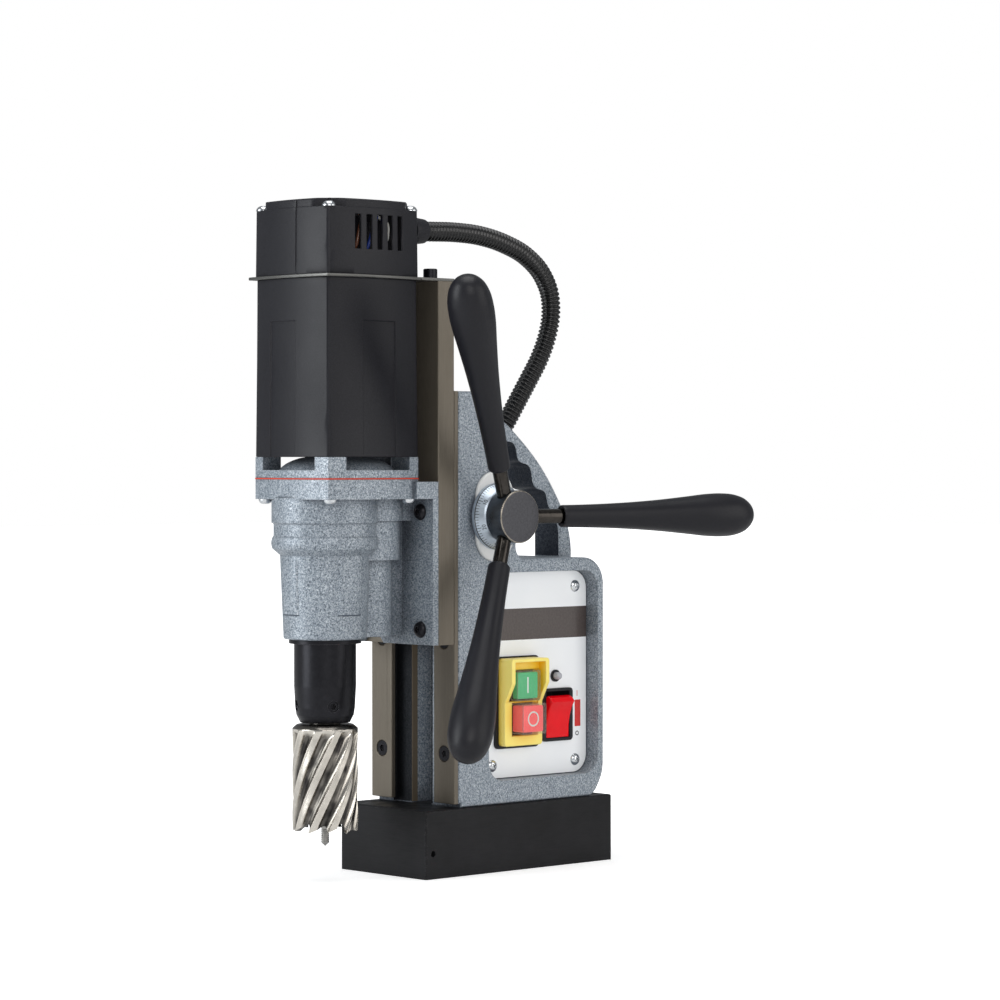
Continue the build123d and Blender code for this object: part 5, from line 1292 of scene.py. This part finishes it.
def make_button(name, color):
    low, high = mm_box(name)
    cover_low, cover_high = mm_box(name + "_cover")
    face = cover_high[0] - 1.5
    y, z = box_middle(low, high)
    width, height = cover_high[1] - cover_low[1] - 3.3, cover_high[2] - cover_low[2] - 2.7
    shape = prism(round_rect(y, z, width, height, 1.2), 33.7, face, edge=0.55)
    stem = round_rect(y, z, 7.8, 7.8, 0.6)
    shape = prism(stem, low[0], 34.2, edge=0.3, steps=2, shape=shape)
    build(name + "_cap", shape, color, name, hide=(name,))
    sunk, proud = face - 0.1, face + 0.05
    if name == "start_button":
        bar = prism(round_rect(y, z + 0.3, 1.25, 10.2, 0.5), sunk, proud, edge=0.03, steps=1)
        build(name + "_mark", bar, "white_ink", name)
    else:
        ring = [(sunk, 3.75), (face + 0.03, 3.75), (proud, 3.8), (proud, 4.75),
                (face + 0.03, 4.8), (sunk, 4.8)]
        turned(name + "_mark", ring, (0, y, z), (1, 0, 0), 64, "white_ink", name,
               closed=True)


def make_boot(button):
    """Clear cover: an open box with a rounded front rim."""
    low, high = mm_box(button + "_cover")
    back, face = low[0], high[0]
    y, z = box_middle(low, high)
    width, height = high[1] - low[1], high[2] - low[2]
    rim = 0.75
    outer = round_rect(y, z, width, height, 1.4)
    inner = round_rect(y, z, width - 1.2, height - 1.2, 1.0)
    rows = [(outer, back)]
    for k in range(5):
        angle = math.pi / 2 * k / 4
        rows.append((inset_loop(outer, rim * (1 - math.cos(angle))),
                     face - rim * (1 - math.sin(angle))))
    rows += [(inner, face - 0.62), (inner, back)]
    verts, rings = [], []
    for loop, x in rows:
        add_ring(verts, rings, [facing_right(*point, x) for point in loop])
    *outside, inner_face, inner_back = rings
    faces = ring_faces(outside) + [tuple(outside[-1])]
    faces += ring_faces([inner_face, inner_back, outside[0]])
    faces.append(tuple(reversed(inner_face)))
    build(button + "_cover_boot", (verts, faces), "clear", button,
          hide=(button + "_cover",))


def make_buttons():
    make_button("start_button", "green")
    make_button("stop_button", "red")
    make_boot("start_button")
    make_boot("stop_button")


def make_guard_floor():
    """Yellow floor of the guard above and between the buttons, clear of their travel."""
    start_low, start_high = mm_box("start_button_cover")
    _, stop_high = mm_box("stop_button_cover")
    base = mm_box("switch_base")[1][0]
    floor_top, start_top = 129.9, start_high[2]
    above = round_rect(5.9, (start_top + 0.3 + floor_top) / 2, 26.0,
                       floor_top - start_top - 0.3, 0.5)
    between = round_rect(7.1, (stop_high[2] + start_low[2]) / 2, 21.6,
                         start_low[2] - stop_high[2] - 0.5, 0.25)
    shape = prism(above, base - 0.1, base + 6.2, edge=0.4, steps=2)
    shape = prism(between, base - 0.1, base + 5.0, edge=0.2, steps=2, shape=shape)
    build("guard_floor", shape, "yellow", "frame")


ROCKER_PIVOT = (24.0, 94.6)         # (x, z)
ROCKER_TURN = math.radians(12)
# (x, z) from the pivot, counter-clockwise: the front from the bottom up, then the back
ROCKER_PROFILE = [
    (9.0, -12.9), (8.35, -9.6), (7.75, -6.0), (7.45, -2.2), (7.5, 1.6), (7.95, 5.2),
    (8.75, 8.2), (9.55, 9.95), (9.7, 10.5), (9.3, 11.2), (7.3, 12.75), (5.6, 13.15),
    (4.0, 13.2), (-4.4, 4.0), (-4.4, -4.0), (4.0, -13.2), (8.0, -13.15)]


def make_rocker():
    low, high = mm_box("rocker")
    left, right = low[1], high[1]
    pivot_x, pivot_z = ROCKER_PIVOT
    cosine, sine = math.cos(ROCKER_TURN), math.sin(ROCKER_TURN)
    loop = [(pivot_x + x * cosine + z * sine, pivot_z - x * sine + z * cosine)
            for x, z in ROCKER_PROFILE]
    verts, rings = [], []
    for y, inset in ((left, 0.9), (left + 0.25, 0.38), (left + 0.9, 0.0),
                     (right - 0.9, 0.0), (right - 0.25, 0.38), (right, 0.9)):
        add_ring(verts, rings, [(x, y, z) for x, z in inset_loop(loop, inset)])
    faces = ring_faces(rings) + [tuple(rings[0]), tuple(reversed(rings[-1]))]
    build("rocker_lens", (verts, faces), "rocker", "rocker", sharp=24,
          hide=("rocker",))


def make_prints():
    """Marks on the panel: a small bar and a plain block in red, a small black ring."""
    face = mm_box("panel_plate")[1][0]
    sunk, proud = face - PRINT_SINK, face + PRINT_RISE
    shape = prism(round_rect(60.0, 107.3, 0.55, 3.6, 0.2), sunk, proud, edge=0.02, steps=1)
    shape = prism(round_rect(60.4, 94.6, 5.2, 17.0, 0.35), sunk, proud, edge=0.02, steps=1,
                  shape=shape)
    build("panel_mark_on", shape, "print_red", "frame")
    ring = [(sunk, 0.95), (proud, 0.95), (proud, 1.5), (sunk, 1.5)]
    turned("panel_mark_off", ring, (0, 60.0, 81.7), (1, 0, 0), 40, "ink", "frame",
           closed=True)


# ---------------------------------------------------------------------------
# Cross-recessed screw heads; the plain CAD heads stay inside them
# ---------------------------------------------------------------------------
# (CAD piece, body, radius, dome height, axis, axes of the seat plane,
#  inset of the centres from the CAD box, place of the seat along the axis)
SCREW_SETS = (
    ("panel_screws", "frame", 3.95, 2.0, (1, 0, 0), (1, 2), 3.9, 28.5),
    ("gearbox_screws", "carriage", 4.1, 2.9, (0, 0, -1), (0, 1), 4.0, 232.7),
    ("cap_screws", "carriage", 4.4, 3.0, (0, 0, 1), (0, 1), 4.4, CAP_SHOULDER_Z),
)
# rings of a head, as shares of its radius
HEAD_RINGS = (1.0, 0.985, 0.95, 0.88, 0.80, 0.70, 0.60, 0.52, 0.46, 0.40, 0.33, 0.25,
              0.16, 0.08)
HEAD_SINK = 0.05


def head_height(x, y, share, radius, height):
    """Dome with a cross sunk into it."""
    z = height * (1 - share ** 2.6) ** 0.62
    half_width, reach = 0.17 * radius, 0.60 * radius
    narrow, wide = sorted((abs(x), abs(y)))
    if narrow < half_width and wide < reach:
        z -= 0.62 * height * (1 - (wide / reach) ** 3)
    return z


def make_head(name, body, origin, axis, radius, height, turn):
    """Domed head with a cut cross, as one closed mesh on a polar grid."""
    origin, axis = Vector(origin), Vector(axis).normalized()
    across = axis.orthogonal().normalized()
    third = axis.cross(across)
    cosine, sine = math.cos(turn), math.sin(turn)
    segments = 72
    circle = [(math.cos(2 * math.pi * k / segments), math.sin(2 * math.pi * k / segments))
              for k in range(segments)]

    def place(x, y, z):
        return tuple(origin + across * (x * cosine - y * sine)
                     + third * (x * sine + y * cosine) + axis * z)

    verts, rings = [], []
    add_ring(verts, rings, [place(radius * x, radius * y, -HEAD_SINK) for x, y in circle])
    for share in HEAD_RINGS:
        points = []
        for unit_x, unit_y in circle:
            x, y = radius * share * unit_x, radius * share * unit_y
            points.append(place(x, y, head_height(x, y, share, radius, height)))
        add_ring(verts, rings, points)
    middle, bottom = len(verts), len(verts) + 1
    verts += [place(0, 0, height * 0.36), place(0, 0, -HEAD_SINK)]
    faces = ring_faces([[bottom]] + rings + [[middle]])
    build(name, (verts, faces), "zinc", body, sharp=26)


def make_screw_heads():
    for piece, body, radius, height, axis, plane, inset, seat in SCREW_SETS:
        low, high = mm_box(piece)
        places = itertools.product(*((low[n] + inset, high[n] - inset) for n in plane))
        for i, pair in enumerate(places):
            origin = [seat] * 3
            origin[plane[0]], origin[plane[1]] = pair
            make_head("%s_head_%d" % (piece, i), body, origin, axis, radius, height,
                      turn=0.35 + 0.8 * i)


# ---------------------------------------------------------------------------
# Gearbox castings
# ---------------------------------------------------------------------------
# (height, radius) of the closed section of the cone
VENT_CONE = [
    (0.0, 35.2), (0.6, 34.9), (2.2, 33.4), (4.2, 30.6), (6.0, 26.8), (7.4, 22.6),
    (8.1, 18.4), (8.25, 15.4), (8.25, 14.6), (0.0, 14.6)]


def make_vent_cone():
    """Cone cast inside the fan space that leads the air up to the fan."""
    turned("vent_cone", VENT_CONE, (0, MOTOR_Y, 250.3), (0, 0, 1), 96, "hammer", "carriage",
           closed=True)


NOSE_X, NOSE_Y = 0.0, -126.6
# (z, radius) at the two ends of the tapered nose
NOSE_LOW, NOSE_HIGH = (148.5, 25.3), (198.7, 27.4)
# (z, height of the pad above the nose)
PAD_ROWS = ((162.3, -0.5), (162.55, 0.62), (163.2, 0.85), (176.0, 0.82), (188.0, 0.72),
            (195.0, 0.42), (199.6, -0.5))
PAD_HALF_ANGLE = 21.0
PAD_STEPS = 22


def make_nose_pads():
    """Shallow cast pads on the lower nose: right, front and left."""
    for number, middle in enumerate((-3.0, -97.0, 177.0)):
        angles = [math.radians(middle - PAD_HALF_ANGLE + 2 * PAD_HALF_ANGLE * k / PAD_STEPS)
                  for k in range(PAD_STEPS + 1)]
        verts, rings = [], []
        for z, height in PAD_ROWS:
            radius = NOSE_LOW[1] + ((NOSE_HIGH[1] - NOSE_LOW[1]) * (z - NOSE_LOW[0])
                                    / (NOSE_HIGH[0] - NOSE_LOW[0]))
            polar = []
            for k, angle in enumerate(angles):
                from_end = min(k, PAD_STEPS - k)
                lift = height
                if height > 0 and from_end < 3:
                    lift = (-0.5, height * 0.25, height * 0.75)[from_end]
                polar.append((radius + lift, angle))
            polar += [(radius - 1.0, angle) for angle in reversed(angles)]
            add_ring(verts, rings, [(NOSE_X + reach * math.cos(angle),
                                     NOSE_Y + reach * math.sin(angle), z)
                                    for reach, angle in polar])
        faces = ring_faces(rings) + [tuple(reversed(rings[0])), tuple(rings[-1])]
        # the two lowest bands, the underside of each pad's lower lip, carry a painted shadow
        dark = 2 * len(rings[0])
        build("nose_pad_%d" % number, (verts, faces), ("hammer", "pad_shadow"), "carriage",
              face_mats=[1] * dark + [0] * (len(faces) - dark))


# (CAD piece, bevel width, bevel segments)
ROUNDED_PIECES = (
    ("switch_guard", 1.7, 4), ("rocker_bezel", 0.5, 2), ("switch_base", 0.6, 2),
    ("magnet_housing", 0.9, 3), ("slide_plate", 0.45, 2), ("guide_strip_left", 0.3, 2),
    ("guide_strip_right", 0.3, 2), ("support_plate", 0.35, 2))


def round_cad_edges():
    for name, width, segments in ROUNDED_PIECES:
        modifiers = NODES[name].modifiers
        modifiers.new("join", "WELD").merge_threshold = 1e-6
        bevel = modifiers.new("rounded_edges", "BEVEL")
        bevel.width = width * MM
        bevel.segments = segments
        bevel.limit_method = "ANGLE"
        bevel.angle_limit = math.radians(40)


make_cutter()
make_pilot()
make_hose()
make_grips()
make_motor_body()
make_motor_cap()
make_cap_insides()
make_hub()
make_dial()
make_buttons()
make_guard_floor()
make_rocker()
make_prints()
make_screw_heads()
make_nose_pads()
make_vent_cone()
round_cad_edges()


# ---------------------------------------------------------------------------
# Stage, in metres
# ---------------------------------------------------------------------------
def studio_floor_material():
    """Pale floor: bright to the camera, with only a soft contact shadow."""
    mat = Shader("studio_floor")
    color = mat.mix(mat.remap(mat.noise(scale=8)),
                    (0.84, 0.84, 0.84, 1), (0.87, 0.87, 0.87, 1))
    seen = mat.node("LightPath").outputs["Is Camera Ray"]
    x, y, _ = mat.xyz()
    glow = mat.remap(mat.distance(x, y), over=(0.14, 0.50), to=(0.50, 1.2))
    mat.set(Base_Color=color, Roughness=0.7, Specular_IOR_Level=0.2,
            Emission_Color=(1, 1, 1, 1), Emission_Strength=mat.product(seen, glow))
    return mat.material


def make_floor(half=9):
    material = studio_floor_material()
    mesh = bpy.data.meshes.new("studio_floor")
    corners = [(-half, -half, 0), (half, -half, 0), (half, half, 0), (-half, half, 0)]
    mesh.from_pydata(corners, [], [(0, 1, 2, 3)])
    floor = bpy.data.objects.new("studio_floor", mesh)
    scene.collection.objects.link(floor)
    mesh.materials.append(material)


def make_world():
    """White to the camera, dim and slightly blue as a light."""
    world = bpy.data.worlds.new("studio")
    scene.world = world
    world.use_nodes = True
    nodes, links = world.node_tree.nodes, world.node_tree.links
    nodes.clear()

    def background(color, strength):
        node = nodes.new("ShaderNodeBackground")
        node.inputs[0].default_value = color
        node.inputs[1].default_value = strength
        return node.outputs[0]

    output = nodes.new("ShaderNodeOutputWorld")
    light_path = nodes.new("ShaderNodeLightPath")
    mix = nodes.new("ShaderNodeMixShader")
    links.new(light_path.outputs["Is Camera Ray"], mix.inputs[0])
    links.new(background(color=(0.94, 0.97, 1.0, 1), strength=0.30), mix.inputs[1])
    links.new(background(color=(1.0, 1.0, 1.0, 1), strength=1.0), mix.inputs[2])
    links.new(mix.outputs[0], output.inputs[0])


LIGHT_TARGET = (0.0, -0.03, 0.22)


def area_light(name, place, size, power, color=(1, 1, 1), size_y=None):
    light = bpy.data.lights.new(name, "AREA")
    light.energy = power
    light.color = color
    light.size = size
    if size_y:
        light.shape = "RECTANGLE"
        light.size_y = size_y
    lamp = bpy.data.objects.new(name, light)
    scene.collection.objects.link(lamp)
    lamp.location = place
    lamp.rotation_mode = "QUATERNION"
    aim = Vector(LIGHT_TARGET) - Vector(place)
    lamp.rotation_quaternion = aim.to_track_quat("-Z", "Y")
    return light


def make_lights():
    area_light("key_left", (-0.62, -1.55, 0.70), size=0.80, size_y=1.4, power=18,
               color=(0.95, 0.98, 1.0))
    area_light("fill_right", (1.55, 0.75, 0.55), size=1.3, size_y=1.8, power=10,
               color=(1.0, 0.98, 0.95))
    fill = area_light("camera_fill", (1.9, -1.2, 1.1), size=1.2, power=14.5,
                      color=(1.0, 0.98, 0.965))
    fill.use_shadow = False
    area_light("top", (0.1, -0.1, 1.7), size=1.1, power=11)


def make_camera():
    """Camera in front and to the right, almost level."""
    azimuth, pitch = math.radians(46.962), math.radians(-0.684)
    lens = bpy.data.cameras.new("camera")
    camera = bpy.data.objects.new("camera", lens)
    scene.collection.objects.link(camera)
    forward = Vector((-math.sin(azimuth) * math.cos(pitch),
                      math.cos(azimuth) * math.cos(pitch), math.sin(pitch)))
    camera.location = (1.585220, -1.461062, 0.256855)
    camera.rotation_mode = "QUATERNION"
    camera.rotation_quaternion = forward.to_track_quat("-Z", "Y")
    lens.sensor_width = 36.0
    lens.lens = 122.414724
    lens.clip_start = 0.05
    lens.clip_end = 50.0
    scene.camera = camera
    scene.view_settings.view_transform = "Standard"
    scene.view_settings.look = "None"


make_floor()
make_world()
make_lights()
make_camera()
